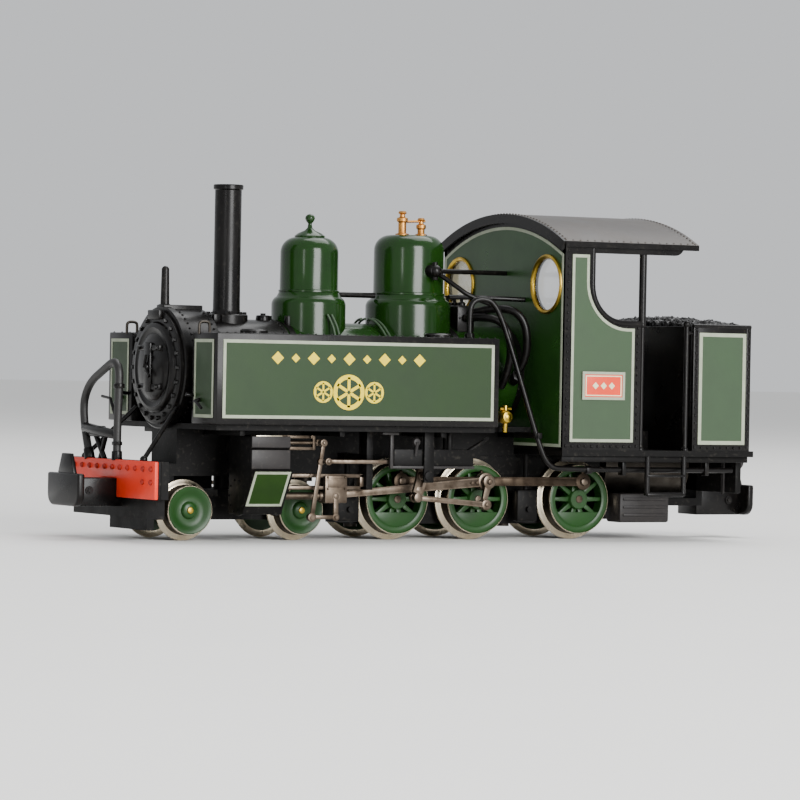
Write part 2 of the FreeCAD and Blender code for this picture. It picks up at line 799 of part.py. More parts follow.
def make_keeper_plate():
    """Bottom cover: its pads close the axle slots below the axles."""
    plate = block("frame_back + 0.6", "frame_step - 0.8", "-2.9", "2.9", "1.7", "frame_bottom")
    pads = [block(f"axle_{name} - 0.7", f"axle_{name} + 0.7", "-2.9", "2.9", "frame_bottom",
                  "axle_height - driver_axle_radius - running_gap") for name in DRIVERS]
    pit = block("axle_middle - 2.6", "axle_middle + 2.6", "-1", "1", "0", "axle_height")
    holes = [rod("z", x, "0", "0", "0.45", "4") for x in ("-11.5", "8")]
    node("keeper_plate", cut(fuse(plate, *pads), pit, *holes))
    screws = []
    for x in ("-11.5", "8"):
        head = rod("z", x, "0", "1.3", "0.75", "0.4")
        shank = rod("z", x, "0", "1.7", "0.4", "0.7")
        screws.append(fuse(head, shank))
    body_screw = fuse(rod("z", "14", "0", "6.3", "1", "0.6"), rod("z", "14", "0", "6.8", "0.4", "0.1"))
    node("screws", *screws, body_screw)


def make_motor():
    can = tube("x", "motor_back", "0", "shaft_height", "motor_radius",
               "motor_radius - motor_wall", "motor_front - motor_back")
    ends = [tube("x", x, "0", "shaft_height", "motor_radius", "shaft_radius + running_gap", "0.8")
            for x in ("motor_back", "motor_front - 0.8")]
    flats = block("motor_back", "motor_front", "-4", "4", "2", "cradle_top")
    node("motor_can", cut(fuse(can, *ends), flats))
    core = rod("x", "motor_back + 1.5", "0", "shaft_height", "armature_radius",
               "motor_front - motor_back - 3")
    shaft = rod("x", "motor_back - 0.4", "0", "shaft_height", "shaft_radius",
                "axle_middle + 3 - motor_back")
    worm = rod("x", "axle_middle - worm_half_length", "0", "shaft_height", "worm_radius",
               "2 * worm_half_length")
    node("armature_and_worm", fuse(core, shaft, worm))
    wheel = Part.makeCylinder(size("worm_wheel_radius"), 1.4, point("axle_middle", "-0.7", "axle_height"),
                              FreeCAD.Vector(0, 1, 0))
    bore = Part.makeCylinder(size("driver_axle_radius"), 1.4, point("axle_middle", "-0.7", "axle_height"),
                             FreeCAD.Vector(0, 1, 0))
    teeth = 20
    wheel = wheel.cut(bore)
    for number in range(teeth):
        gap = Part.makeBox(0.32, 2, 0.6, FreeCAD.Vector(-0.16, -1, size("worm_wheel_radius - 0.3")))
        gap.rotate(FreeCAD.Vector(), FreeCAD.Vector(0, 1, 0), 360.0 * number / teeth)
        gap.translate(point("axle_middle", "0", "axle_height"))
        wheel = wheel.cut(gap)
    node("worm_wheel", feature(wheel))


def make_electrics():
    board = block("-9", "9", "-3.2", "3.2", "17", "17.5")
    chip = block("-4", "3", "-2.4", "2.4", "17.5", "18.7")
    node("circuit_board", fuse(board, chip))
    strip = block("-20.5", "7", "3.15", "3.35", "7.2", "9.2")
    node("pickup_strips", strip, mirrored(strip))


def make_bogie():
    plate = block("bogie_axle_rear - 1.6", "guard_back", "bogie_plate_inside",
                  "bogie_plate_outside", "2.2", "4.6")
    holes = [rod("y", axle, "0", "bogie_axle_height", "bogie_axle_radius + running_gap", "4")
             for axle in ("bogie_axle_front", "bogie_axle_rear")]
    plate = cut(plate, *holes)
    stretcher = block("bogie_centre - 2", "bogie_centre + 2", "-bogie_plate_outside",
                      "bogie_plate_outside", "4.6", "5.4")
    pivot = rod("z", "bogie_centre", "0", "5.4", "1", "2.8")
    guard = cut(
        block("guard_back", "guard_front", "-guard_half_width", "guard_half_width",
              "guard_bottom", "4.4"),
        block("guard_back", "guard_front", "3.6", "guard_half_width", "2.6", "4.4"),
        block("guard_back", "guard_front", "-guard_half_width", "-3.6", "2.6", "4.4"))
    node("bogie_frame", fuse(plate, mirrored(plate), stretcher, pivot, guard))
    for end in ("front", "rear"):
        axle = "bogie_axle_" + end
        flange = rod("y", axle, "wheel_back", "bogie_axle_height",
                     "bogie_tread_radius + flange_depth", "flange_width")
        tread = rod("y", axle, "wheel_back", "bogie_axle_height", "bogie_tread_radius",
                    "wheel_face - wheel_back")
        dish = tube("y", axle, "wheel_face - 0.45", "bogie_axle_height",
                    "bogie_tread_radius - 0.55", "0.7", "0.45")
        wheel = cut(fuse(flange, tread), dish)
        shaft = rod("y", axle, "-wheel_back", "bogie_axle_height", "bogie_axle_radius",
                    "2 * wheel_back")
        node(f"bogie_wheels_{end}", fuse(shaft, wheel, mirrored(wheel)))


# ---------------------------------------------------------------- beams, couplers, plates


def make_beam_and_couplers():
    beam = cut(
        block("beam_back", "beam_front", "-beam_half_width", "beam_half_width",
              "beam_bottom", "beam_top"),
        block("beam_back", "beam_front", "-beam_notch_half", "beam_notch_half",
              "beam_bottom", "beam_notch_top"))
    node("front_beam", beam)
    backing = cut(
        block("backing_back", "beam_back", "-beam_half_width", "beam_half_width",
              "backing_bottom", "beam_top"),
        block("backing_back", "beam_back", "backing_half", "beam_half_width",
              "backing_bottom", "beam_bottom"),
        block("backing_back", "beam_back", "-beam_half_width", "-backing_half",
              "backing_bottom", "beam_bottom"),
        block("backing_back", "beam_back", "-frame_half_width", "frame_half_width",
              "frame_nose_bottom", "frame_nose_top"))
    node("beam_backing", backing)

    def coupler(bottom, face, root):
        """Buffing plate with rounded lower corners, a lug above it and a square shank behind."""
        side, width = size("coupler_half_width"), size("coupler_plate")
        low, high = size(bottom), size(f"{bottom} + coupler_height")
        direction = 1 if size(face) > 0 else -1
        plate = Part.makeBox(width, 2 * side, high - low,
                             FreeCAD.Vector(min(size(face), size(face) - direction * width),
                                            -side, low))
        corners = [edge for edge in plate.Edges
                   if abs(edge.CenterOfMass.z - low) < 1e-6 and edge.CenterOfMass.y ** 2 > 1
                   and abs(edge.Vertexes[0].Y - edge.Vertexes[1].Y) < 1e-6]
        plate = plate.makeFillet(1.2, corners)
        inner = size(face) - direction * width
        foot, head = size("lug_half_foot"), size("lug_half_top")
        crown = high + size("lug_height")
        outline = [FreeCAD.Vector(inner, y, z)
                   for y, z in ((-foot, high - 0.2), (foot, high - 0.2), (head, crown), (-head, crown))]
        lug = Part.Face(Part.makePolygon(outline + outline[:1]))
        lug = lug.extrude(FreeCAD.Vector(direction * size("lug_thickness"), 0, 0))
        half = size("shank_half_width")
        shank = Part.makeBox(abs(inner - size(root)), 2 * half, high - low - 0.5,
                             FreeCAD.Vector(min(inner, size(root)), -half, low))
        return feature(plate.fuse([lug, shank]).removeSplitter())

    node("front_coupler", coupler("front_coupler_bottom", "overall_length / 2", "beam_back"))
    node("rear_coupler", coupler("rear_coupler_bottom", "-overall_length / 2", "frame_rear_end"))


def make_footplate():
    rear = cut(
        block("frame_rear_end", "cab_front", "-footplate_half", "footplate_half",
              "footplate_bottom", "footplate_top"),
        block("motor_back - 0.4", "motor_front + 0.4", "-motor_radius - 0.3", "motor_radius + 0.3",
              "footplate_bottom", "footplate_top"),
        block("motor_front", "cab_front", "-1.6", "1.6", "footplate_bottom", "footplate_top"))
    spine = block("cab_front", "floor_front", "-frame_half_width", "frame_half_width",
                  "frame_top", "floor_bottom")
    under_boiler = block("cab_front", "tank_back", "-6.9", "6.9", "floor_bottom", "floor_top")
    under_tanks = block("tank_back", "floor_front", "-floor_half", "floor_half",
                        "floor_bottom", "floor_top")
    drum = rod("x", "boiler_front", "0", "boiler_z", "smokebox_radius", "14")
    node("footplate", cut(fuse(rear, spine, under_boiler, under_tanks), drum))


# ---------------------------------------------------------------- boiler and fittings


def make_boiler():
    barrel = tube("x", "cab_front", "0", "boiler_z", "boiler_radius", "boiler_radius - sheet",
                  "boiler_front - cab_front")
    node("boiler", barrel)
    shell = tube("x", "boiler_front", "0", "boiler_z", "smokebox_radius",
                 "smokebox_radius - sheet", "smokebox_front - boiler_front")
    ring = tube("x", "smokebox_front - 0.8", "0", "boiler_z", "smokebox_ring",
                "smokebox_radius - sheet", "0.8")
    saddle = cut(
        block("20.5", "28.5", "-4.5", "4.5", "floor_top", "boiler_z - 3"),
        rod("x", "20.5", "0", "boiler_z", "smokebox_radius - sheet", "8"))
    stack_hole = rod("z", "chimney_x", "0", "boiler_z", "chimney_bore", "10")
    back_plate = tube("x", "boiler_front", "0", "boiler_z", "smokebox_radius",
                      "boiler_radius - sheet", "sheet")
    node("smokebox", cut(fuse(shell, ring, saddle, back_plate), stack_hole))


def make_smokebox_door():
    """Front plate with a dished door."""
    plate = rod("x", "smokebox_front", "0", "boiler_z", "smokebox_radius - 0.3", "0.35")
    start = size("smokebox_front + 0.35")
    radius, dish = size("door_radius"), size("door_dish")
    axis = size("boiler_z")
    edge = FreeCAD.Vector(start, 0, axis + radius)
    crown = FreeCAD.Vector(start + dish, 0, axis)
    middle = FreeCAD.Vector(start + dish * 0.82, 0, axis + radius * 0.5)
    centre = FreeCAD.Vector(start, 0, axis)
    wire = Part.Wire([
        Part.Arc(edge, middle, crown).toShape(),
        Part.LineSegment(crown, centre).toShape(),
        Part.LineSegment(centre, edge).toShape()])
    dome = Part.Face(wire).revolve(centre, FreeCAD.Vector(1, 0, 0), 360)
    hub = rod("x", "smokebox_front + door_dish", "0", "boiler_z", "0.7", "0.9")
    strap_plate = block("smokebox_front + door_dish - 0.35", "smokebox_front + door_dish + 0.55",
                        "-4.2", "-1.6", "boiler_z - 2", "boiler_z + 2")
    node("smokebox_door", fuse(plate, feature(dome), hub, strap_plate))


def make_chimney():
    outline = [
        ("chimney_bore", "boiler_z + 5"),
        ("2.45", "boiler_z + 5"),
        ("2.3", "25.4"),
        ("chimney_radius", "26.2"),
        ("chimney_radius", "chimney_top - 0.5"),
        ("chimney_lip", "chimney_top - 0.4"),
        ("chimney_lip", "chimney_top"),
        ("chimney_bore", "chimney_top"),
    ]
    stack = turned(outline, x="chimney_x")
    drum = rod("x", "boiler_front", "0", "boiler_z", "smokebox_radius", "14")
    node("chimney", cut(stack, drum))


def make_domes():
    barrel_length = "boiler_front - cab_front"
    sand = turned([
        ("0", "boiler_z"),
        ("sand_dome_radius + 0.9", "boiler_z"),
        ("sand_dome_radius + 0.85", "25.4"),
        ("sand_dome_radius + 0.25", "26.4"),
        ("sand_dome_radius", "27"),
        ("sand_dome_radius", "31.6"),
        ("sand_dome_radius - 0.6", "32.8"),
        ("sand_dome_radius - 1.7", "33.4"),
        ("1.3", "33.6"),
        ("1.3", "34.3"),
        ("0.5", "34.5"),
        ("0.6", "35.3"),
        ("0.3", "35.7"),
        ("0", "35.7"),
    ], x="sand_dome_x")
    node("sand_dome", cut(sand, rod("x", "cab_front", "0", "boiler_z", "boiler_radius", barrel_length)))
    steam = turned([
        ("0", "boiler_z"),
        ("steam_dome_radius + 0.9", "boiler_z"),
        ("steam_dome_radius + 0.85", "25.6"),
        ("steam_dome_radius + 0.3", "26.6"),
        ("steam_dome_radius", "27.2"),
        ("steam_dome_radius", "31.4"),
        ("steam_dome_radius - 0.7", "32.9"),
        ("steam_dome_radius - 2", "33.6"),
        ("0", "33.7"),
    ], x="steam_dome_x")
    node("steam_dome",
         cut(steam, rod("x", "cab_front", "0", "boiler_z", "boiler_radius", barrel_length)))
    turret = cut(
        block("turret_back", "turret_front", "-turret_half", "turret_half",
              "boiler_z + 3", "turret_top"),
        rod("x", "cab_front", "0", "boiler_z", "boiler_radius", barrel_length))
    node("turret_box", turret)


def make_brass_fittings():
    """Safety valves, the injector valves beside the firebox and the rings of the cab's windows."""
    def valve(x, base, top, radius):
        return turned([
            ("0", base),
            (radius, base),
            (radius, f"{top} - 1.6"),
            (f"{radius} * 0.6", f"{top} - 1.3"),
            (f"{radius} * 0.6", f"{top} - 0.6"),
            (f"{radius} * 0.9", f"{top} - 0.4"),
            (f"{radius} * 0.9", top),
            ("0", top),
        ], x=x)

    front = valve("steam_dome_x + 0.9", "33.7", "36.4", "0.8")
    rear = valve("steam_dome_x - 1.5", "33.7", "35.7", "0.7")
    body = rod("y", "-6.8", "boiler_radius + 0.6", "13.6", "0.85", "8.6 - boiler_radius")
    stem = rod("z", "-6.8", "8", "11.8", "0.4", "3.4")
    injector = fuse(body, stem)
    rings = [tube("x", "cab_front", y, "window_z", "window_ring", "window_radius - 0.1", "0.3")
             for y in ("window_y", "-window_y")]
    node("brass_fittings", front, rear, injector, mirrored(injector), *rings)


def make_tanks():
    tank = block("tank_back", "tank_front", "tank_inside", "tank_outside", "tank_bottom", "tank_top")
    node("side_tanks", tank, mirrored(tank))


# ---------------------------------------------------------------- cab and bunker


def arch(half, edge_z, rise, x_back, x_front):
    """A solid with a flat base and an arched top, seen from the front."""
    left = FreeCAD.Vector(x_back, half, edge_z)
    right = FreeCAD.Vector(x_back, -half, edge_z)
    crown = FreeCAD.Vector(x_back, 0, edge_z + rise)
    wire = Part.Wire([Part.Arc(left, crown, right).toShape(),
                      Part.LineSegment(right, left).toShape()])
    return Part.Face(wire).extrude(FreeCAD.Vector(x_front - x_back, 0, 0))


def make_cab_shell():
    back, front, wall = size("cab_back"), size("cab_front"), size("sheet")
    half = size("body_half")
    floor, top = size("footplate_top"), size("cab_side_top")
    sheet_front = Part.makeBox(wall, 2 * half, top - floor, FreeCAD.Vector(front - wall, -half, floor))
    sheet_front = sheet_front.fuse(arch(half, top, size("cab_arch_rise"), front - wall, front))
    for y in (size("window_y"), -size("window_y")):
        hole = Part.makeCylinder(size("window_radius"), 2, FreeCAD.Vector(front - 1, y, size("window_z")),
                                 FreeCAD.Vector(1, 0, 0))
        sheet_front = sheet_front.cut(hole)
    side = Part.makeBox(front - wall - back, wall, top - floor,
                        FreeCAD.Vector(back, half - wall, floor))
    opening = Part.makeBox(12, 3, 12, FreeCAD.Vector(size("cab_cut_x") - 12, half - 2, size("cab_cut_z")))
    corner = [edge for edge in opening.Edges
              if abs(edge.CenterOfMass.x - size("cab_cut_x")) < 1e-6
              and abs(edge.CenterOfMass.z - size("cab_cut_z")) < 1e-6]
    opening = opening.makeFillet(size("cab_cut_round"), corner)
    side = side.cut(opening)
    shell = sheet_front.fuse(side).fuse(on_side(side, "right")).removeSplitter()
    node("cab_shell", feature(shell))


def make_cab_windows():
    panes = [rod("x", "cab_front - sheet + 0.1", y, "window_z", "window_radius", "sheet - 0.2")
             for y in ("window_y", "-window_y")]
    node("cab_glazing", *panes)


def make_roof():
    """An arched sheet with a valance along each side."""
    half, edge, rise = size("roof_half"), size("roof_edge_z"), size("roof_rise")
    back, front, thick = size("roof_back"), size("roof_front"), size("roof_thickness")
    outer = arch(half, edge, rise, back, front)
    inner = arch(half, edge, rise, back, front)
    inner.translate(FreeCAD.Vector(0, 0, -thick))
    sheet_roof = outer.cut(inner)
    node("cab_roof", feature(sheet_roof))


def make_bunker():
    outer = block("bunker_back", "bunker_front", "-body_half", "body_half", "footplate_top", "bunker_top")
    inner = block("bunker_back + sheet", "bunker_front - sheet", "-body_half + sheet",
                  "body_half - sheet", "footplate_top", "bunker_top")
    tunnel = block("bunker_front - sheet", "bunker_front", "-3.8", "3.8", "footplate_top", "motor_top")
    node("bunker", cut(outer, inner, tunnel))
    heap = fuse(
        block("bunker_back + sheet", "bunker_front - sheet", "-body_half + sheet",
              "body_half - sheet", "coal_bottom", "coal_shoulder - 0.6"),
        block("bunker_back + 1.4", "bunker_front - 1.4", "-body_half + 1.6", "body_half - 1.6",
              "coal_bottom", "coal_shoulder"),
        block("bunker_back + 2.4", "bunker_front - 2.4", "-body_half + 4", "body_half - 4",
              "coal_bottom", "coal_top"))
    node("coal_load", heap)


def make_backhead():
    """Boiler end in the cab, its fire door and the box floor over the motor."""
    end = block("cab_front - sheet - 3.4", "cab_front - sheet", "-4.3", "4.3",
                "footplate_top", "boiler_z + 4")
    door = rod("x", "cab_front - sheet - 3.8", "0", "boiler_z - 1", "1.5", "0.4")
    hollow = block("bunker_front", "motor_front + 0.6", "-3.8", "3.8", "footplate_top", "motor_top")
    floor = cut(
        block("bunker_front", "cab_front - sheet - 3.4", "-4.3", "4.3", "footplate_top",
              "motor_top + 0.5"),
        hollow)
    regulator = rod("x", "cab_front - sheet - 4.2", "0", "boiler_z + 2.4", "0.35", "0.8")
    handle = block("cab_front - sheet - 4.2", "cab_front - sheet - 3.9", "-2", "0.3",
                   "boiler_z + 2.15", "boiler_z + 2.65")
    node("backhead", fuse(end, door, floor, regulator, handle))


def make_plates():
    plate = block("plate_back", "plate_front", "body_half", "body_half + 0.2",
                  "plate_bottom", "plate_top")
    node("name_plates", plate, mirrored(plate))


def make_cab_steps():
    uprights = [block(x, f"{x} + 0.6", "12.7", "13.3", "step_bottom", "footplate_bottom")
                for x in ("step_back", "step_front - 0.6")]
    treads = [block("step_back", "step_front", "12.4", "13.4", z, f"{z} + 0.4")
              for z in ("step_bottom", "7.2")]
    ladder = fuse(*uprights, *treads)
    node("cab_steps", ladder, mirrored(ladder))


def make_brake_gear():
    hanger = block("-13.1", "-9.8", "3.7", "5.6", "1.6", "6.4")
    link = block("-12", "-10.9", "frame_half_width", "3.7", "3", "6")
    ash_pan = cut(
        block("-30", "-23", "frame_half_width", "6.3", "1.8", "5.3"),
        block("-28.6", "-24.4", "4.6", "6.3", "1.8", "3.4"))
    left = [fuse(hanger, link), ash_pan]
    node("brake_gear", *left, *[mirrored(item) for item in left])


# ---------------------------------------------------------------- pipes, rails and hose


def make_side_pipes():
    """Injector steam and feed pipes on each side, in front of the cab and below it."""
    feed = [
        ("tank_back + 1.3", "9", "tank_top"),
        ("tank_back + 1.3", "9", "26.2"),
        ("-4.6", "9.6", "26.6"),
        ("-10.0", "11.7", "8.2"),
        ("-15.0", "11.7", "8.0"),
        ("-34.6", "11.7", "8.0"),
    ]
    steam = [
        ("turret_front - 1.2", "turret_half", "25.3"),
        ("-7.6", "7.4", "25.6"),
        ("-9.6", "7.6", "21.6"),
        ("-9.4", "4.6", "17.8"),
    ]
    barrel = rod("x", "cab_front", "0", "boiler_z", "boiler_radius", "12")
    turret = block("turret_back", "turret_front", "-turret_half", "turret_half",
                   "boiler_z", "turret_top")
    left = [feature(pipe(feed, "pipe_radius")),
            cut(feature(pipe(steam, "pipe_radius")), barrel, turret)]
    node("side_pipes", *left, *[mirrored(item) for item in left])


def make_front_hose():
    """Brake standpipe on the beam, the hose looped to one side and the coupling between them."""
    middle = "(beam_back + beam_front) / 2"
    loop = pipe([
        (middle, "standpipe_y", "beam_top"),
        (middle, "standpipe_y", "18.5"),
        (middle, "-1.2", "19.3"),
        (middle, "-5.7", "17.2"),
        (middle, "hose_y - 0.3", "14.4"),
        (middle, "hose_y + 0.4", "11.4"),
        (middle, "hose_foot_y", "9.9"),
        (middle, "hose_foot_y", "beam_top"),
    ], "hose_radius")
    coupling = block(f"{middle} - 0.35", f"{middle} + 0.35", "hose_y + 0.6", "standpipe_y", "11", "12")
    node("front_hose", fuse(feature(loop), coupling))


def make_handrails():
    """Cab pillars and rails, lamp iron, beam stays, dome rod and regulator rod."""
    pillars = [rod("z", "pillar_x", y, "footplate_top", "rail_radius", "cab_side_top - footplate_top")
               for y in ("13.15", "-13.15")]
    rails = [rod("z", "second_rail_x", y, "footplate_top", "rail_radius", "cab_cut_z - footplate_top")
             for y in ("13.15", "-13.15")]
    lamp_iron = rod("z", "31.2", "0", "boiler_z + smokebox_ring", "0.37", "4.3")
    left_stay = feature(pipe([
        ("beam_back + 0.2", "7.4", "beam_top + 0.15"),
        ("smokebox_front + 0.22", "5", "14.2")], "stay_radius"))
    dome_rod = rod("x", "steam_dome_x + 4.3", "0", "26.9", "0.3",
                   "sand_dome_x - steam_dome_x - 7.8")
    regulator = rod("x", "cab_front", "2.5", "29.6", "0.3", "steam_dome_x - cab_front - 3.5")
    node("handrails", *pillars, *rails, lamp_iron, left_stay, mirrored(left_stay), dome_rod, regulator)


def check_document():
    """Stop if any object failed, and test every piece before it is written."""
    DOC.recompute()
    for item in DOC.Objects:
        if "Invalid" in item.State or "Error" in item.State:
            raise RuntimeError(f"{item.Name} ({item.Label}) failed: {item.State}")
    for item in NODES:
        if item.Shape.isNull() or not item.Shape.isValid() or not item.Shape.Solids:
            raise RuntimeError(f"{item.Label} has no valid solid")


def main():
    fill_sheet()
    make_driving_wheels()
    make_return_cranks()
    make_coupling_rods()
    make_main_rods()
    make_eccentric_rods()
    make_crossheads()
    make_combination_levers()
    make_expansion_links()
    make_radius_rods()
    make_cylinders()
    make_slide_bars()
    make_chassis_frame()
    make_keeper_plate()
    make_motor()
    make_electrics()
    make_bogie()
    make_beam_and_couplers()
    make_footplate()
    make_boiler()
    make_smokebox_door()
    make_chimney()
    make_domes()
    make_brass_fittings()
    make_tanks()
    make_cab_shell()
    make_cab_windows()
    make_roof()
    make_bunker()
    make_backhead()
    make_plates()
    make_cab_steps()
    make_brake_gear()
    make_side_pipes()
    make_front_hose()
    make_handrails()
    check_document()
    os.makedirs("parts", exist_ok=True)
    for item in NODES:
        item.Shape.exportStep(f"parts/{item.Label}.step")
    print(len(NODES), "nodes written")


main()
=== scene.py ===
"""Looks of a model narrow-gauge side-tank engine, 4-6-0, modelled round its fixed frame.

Pieces are shaped in millimetres in the engine's own frame (+X forwards, +Y to its left, +Z up)
and brought to metres when they are finished.
"""

import json
import logging
import math
import random
from dataclasses import dataclass, field
from enum import Enum
from typing import Iterable, Optional, Sequence

import bmesh
import bpy
from mathutils import Matrix, Vector

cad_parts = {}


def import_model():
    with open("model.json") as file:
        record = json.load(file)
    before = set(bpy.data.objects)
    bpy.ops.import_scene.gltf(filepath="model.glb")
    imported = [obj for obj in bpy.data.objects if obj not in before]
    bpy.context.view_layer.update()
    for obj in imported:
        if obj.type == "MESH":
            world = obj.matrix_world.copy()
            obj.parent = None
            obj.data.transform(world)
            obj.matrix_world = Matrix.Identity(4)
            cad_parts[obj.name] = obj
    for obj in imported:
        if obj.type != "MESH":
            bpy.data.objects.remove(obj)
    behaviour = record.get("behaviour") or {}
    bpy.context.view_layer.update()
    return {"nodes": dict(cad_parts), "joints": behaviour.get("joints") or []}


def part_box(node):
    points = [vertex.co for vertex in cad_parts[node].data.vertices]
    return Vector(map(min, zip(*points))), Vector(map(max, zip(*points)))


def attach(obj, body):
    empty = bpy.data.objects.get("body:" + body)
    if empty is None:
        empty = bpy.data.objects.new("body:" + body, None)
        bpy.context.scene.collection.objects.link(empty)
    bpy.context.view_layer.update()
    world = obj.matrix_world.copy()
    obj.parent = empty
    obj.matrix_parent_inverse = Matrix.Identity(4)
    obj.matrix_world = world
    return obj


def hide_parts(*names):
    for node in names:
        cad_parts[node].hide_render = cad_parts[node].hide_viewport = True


LOG = logging.getLogger("engine")
MM = 0.001
Point = tuple[float, float, float]


class Side(Enum):
    """The engine's two sides, each with the sign of its Y."""

    LEFT = 1
    RIGHT = -1

    @property
    def word(self) -> str:
        """The side's name as used in node and piece names."""
        return self.name.lower()


class Axis(Enum):
    """Directions that a round piece can point in."""

    X = Vector((1, 0, 0))
    Y = Vector((0, 1, 0))
    Z = Vector((0, 0, 1))


# ------------------------------------------------------------------ finishes


def linear(hex_colour: str) -> tuple[float, float, float, float]:
    """Turn an sRGB hex colour into the linear values that the shaders use.

    Args:
        hex_colour: Six hex digits, with or without a leading #.

    Returns:
        Linear red, green, blue and an alpha of 1.
    """
    digits = hex_colour.lstrip("#")
    channels = [int(digits[place:place + 2], 16) / 255 for place in (0, 2, 4)]
    return tuple(c / 12.92 if c <= 0.04045 else ((c + 0.055) / 1.055) ** 2.4 for c in channels) + (1.0,)


def node(tree: bpy.types.NodeTree, kind: str, settings: Optional[dict] = None,
         links: Optional[dict] = None) -> bpy.types.Node:
    """Add a shader node with its settings and links.

    Args:
        tree: The material's node tree.
        kind: The node's type name, without its ShaderNode prefix.
        settings: Attributes to set, or input values when the name is an input.
        links: Input name or number to the output socket that feeds it.

    Returns:
        The new node.
    """
    item = tree.nodes.new("ShaderNode" + kind)
    for name, value in (settings or {}).items():
        if isinstance(name, int) or name in item.inputs:
            item.inputs[name].default_value = value
        else:
            setattr(item, name, value)
    for name, socket in (links or {}).items():
        tree.links.new(socket, item.inputs[name])
    return item


def new_material(name: str) -> tuple[bpy.types.Material, bpy.types.NodeTree, bpy.types.Node]:
    """Start a material.

    Args:
        name: The material's name.

    Returns:
        The material, its node tree and its cleared Principled shader.
    """
    material = bpy.data.materials.new(name)
    material.use_nodes = True
    tree = material.node_tree
    tree.nodes.clear()
    shader = node(tree, "BsdfPrincipled")
    node(tree, "OutputMaterial", links={"Surface": shader.outputs["BSDF"]})
    return material, tree, shader


def grain(tree: bpy.types.NodeTree, size_mm: float, detail: float = 3.0) -> bpy.types.Node:
    """A noise on object coordinates whose features are about the given size.

    Args:
        tree: The material's node tree.
        size_mm: Size of one feature in millimetres.
        detail: Octaves of finer noise.

    Returns:
        The noise node.
    """
    place = node(tree, "TexCoord")
    return node(tree, "TexNoise", {"Scale": 1 / (size_mm * MM), "Detail": detail},
                {"Vector": place.outputs["Object"]})


def spread(tree: bpy.types.NodeTree, source: bpy.types.NodeSocket, low: float, high: float) -> bpy.types.Node:
    """Map a noise's middle range onto low to high.

    Args:
        tree: The material's node tree.
        source: The socket to map.
        low: Value where the noise is weakest.
        high: Value where the noise is strongest.

    Returns:
        The Map Range node.
    """
    return node(tree, "MapRange", {"From Min": 0.3, "From Max": 0.7, "To Min": low, "To Max": high},
                {"Value": source})


@dataclass(frozen=True)
class Enamel:
    """Sprayed model enamel: an even coat with faint mottle, fine orange peel and a little dust."""

    name: str
    colour: str
    shade: str
    roughness: float = 0.42
    mottle_mm: float = 3.2
    peel_mm: float = 0.22
    peel_depth: float = 0.02
    specular: float = 0.5
    dust: float = 0.0

    def make(self) -> bpy.types.Material:
        """Build the enamel's shader and return its material."""
        material, tree, shader = new_material(self.name)
        mottle = grain(tree, self.mottle_mm, 4.0)
        amount = spread(tree, mottle.outputs["Fac"], 0.0, 1.0)
        base = node(tree, "Mix", {"data_type": "RGBA", 6: linear(self.colour), 7: linear(self.shade)},
                    {0: amount.outputs["Result"]})
        colour = base.outputs[2]
        if self.dust > 0:
            speck = grain(tree, 0.5, 2.0)
            dusty = node(tree, "MapRange", {"From Min": 0.58, "From Max": 0.78, "To Max": self.dust},
                         {"Value": speck.outputs["Fac"]})
            colour = node(tree, "Mix", {"data_type": "RGBA", 7: linear("A79F90")},
                          {0: dusty.outputs["Result"], 6: colour}).outputs[2]
        tree.links.new(colour, shader.inputs["Base Color"])
        rough = spread(tree, mottle.outputs["Fac"], self.roughness * 0.85, self.roughness * 1.15)
        tree.links.new(rough.outputs["Result"], shader.inputs["Roughness"])
        peel = grain(tree, self.peel_mm, 2.0)
        bump = node(tree, "Bump", {"Strength": 0.35, "Distance": self.peel_depth * MM},
                    {"Height": peel.outputs["Fac"]})
        tree.links.new(bump.outputs["Normal"], shader.inputs["Normal"])
        shader.inputs["Specular IOR Level"].default_value = self.specular
        return material


@dataclass(frozen=True)
class BareMetal:
    """Turned or stamped metal: fine directional marks and patches of brown oil film."""

    name: str
    colour: str
    film: str
    roughness: float = 0.3
    film_amount: float = 0.5
    mark_mm: float = 0.12

    def make(self) -> bpy.types.Material:
        """Build the metal's shader and return its material."""
        material, tree, shader = new_material(self.name)
        patches = grain(tree, 1.3, 4.0)
        film = node(tree, "MapRange", {"From Min": 0.4, "From Max": 0.68, "To Max": self.film_amount},
                    {"Value": patches.outputs["Fac"]})
        colour = node(tree, "Mix", {"data_type": "RGBA", 6: linear(self.colour), 7: linear(self.film)},
                      {0: film.outputs["Result"]})
        tree.links.new(colour.outputs[2], shader.inputs["Base Color"])
        shader.inputs["Metallic"].default_value = 1.0
        rough = node(tree, "MapRange",
                     {"From Min": 0.35, "From Max": 0.7, "To Min": self.roughness,
                      "To Max": self.roughness + 0.25},
                     {"Value": patches.outputs["Fac"]})
        tree.links.new(rough.outputs["Result"], shader.inputs["Roughness"])
        marks = grain(tree, self.mark_mm, 1.0)
        bump = node(tree, "Bump", {"Strength": 0.3, "Distance": 0.012 * MM},
                    {"Height": marks.outputs["Fac"]})
        tree.links.new(bump.outputs["Normal"], shader.inputs["Normal"])
        return material


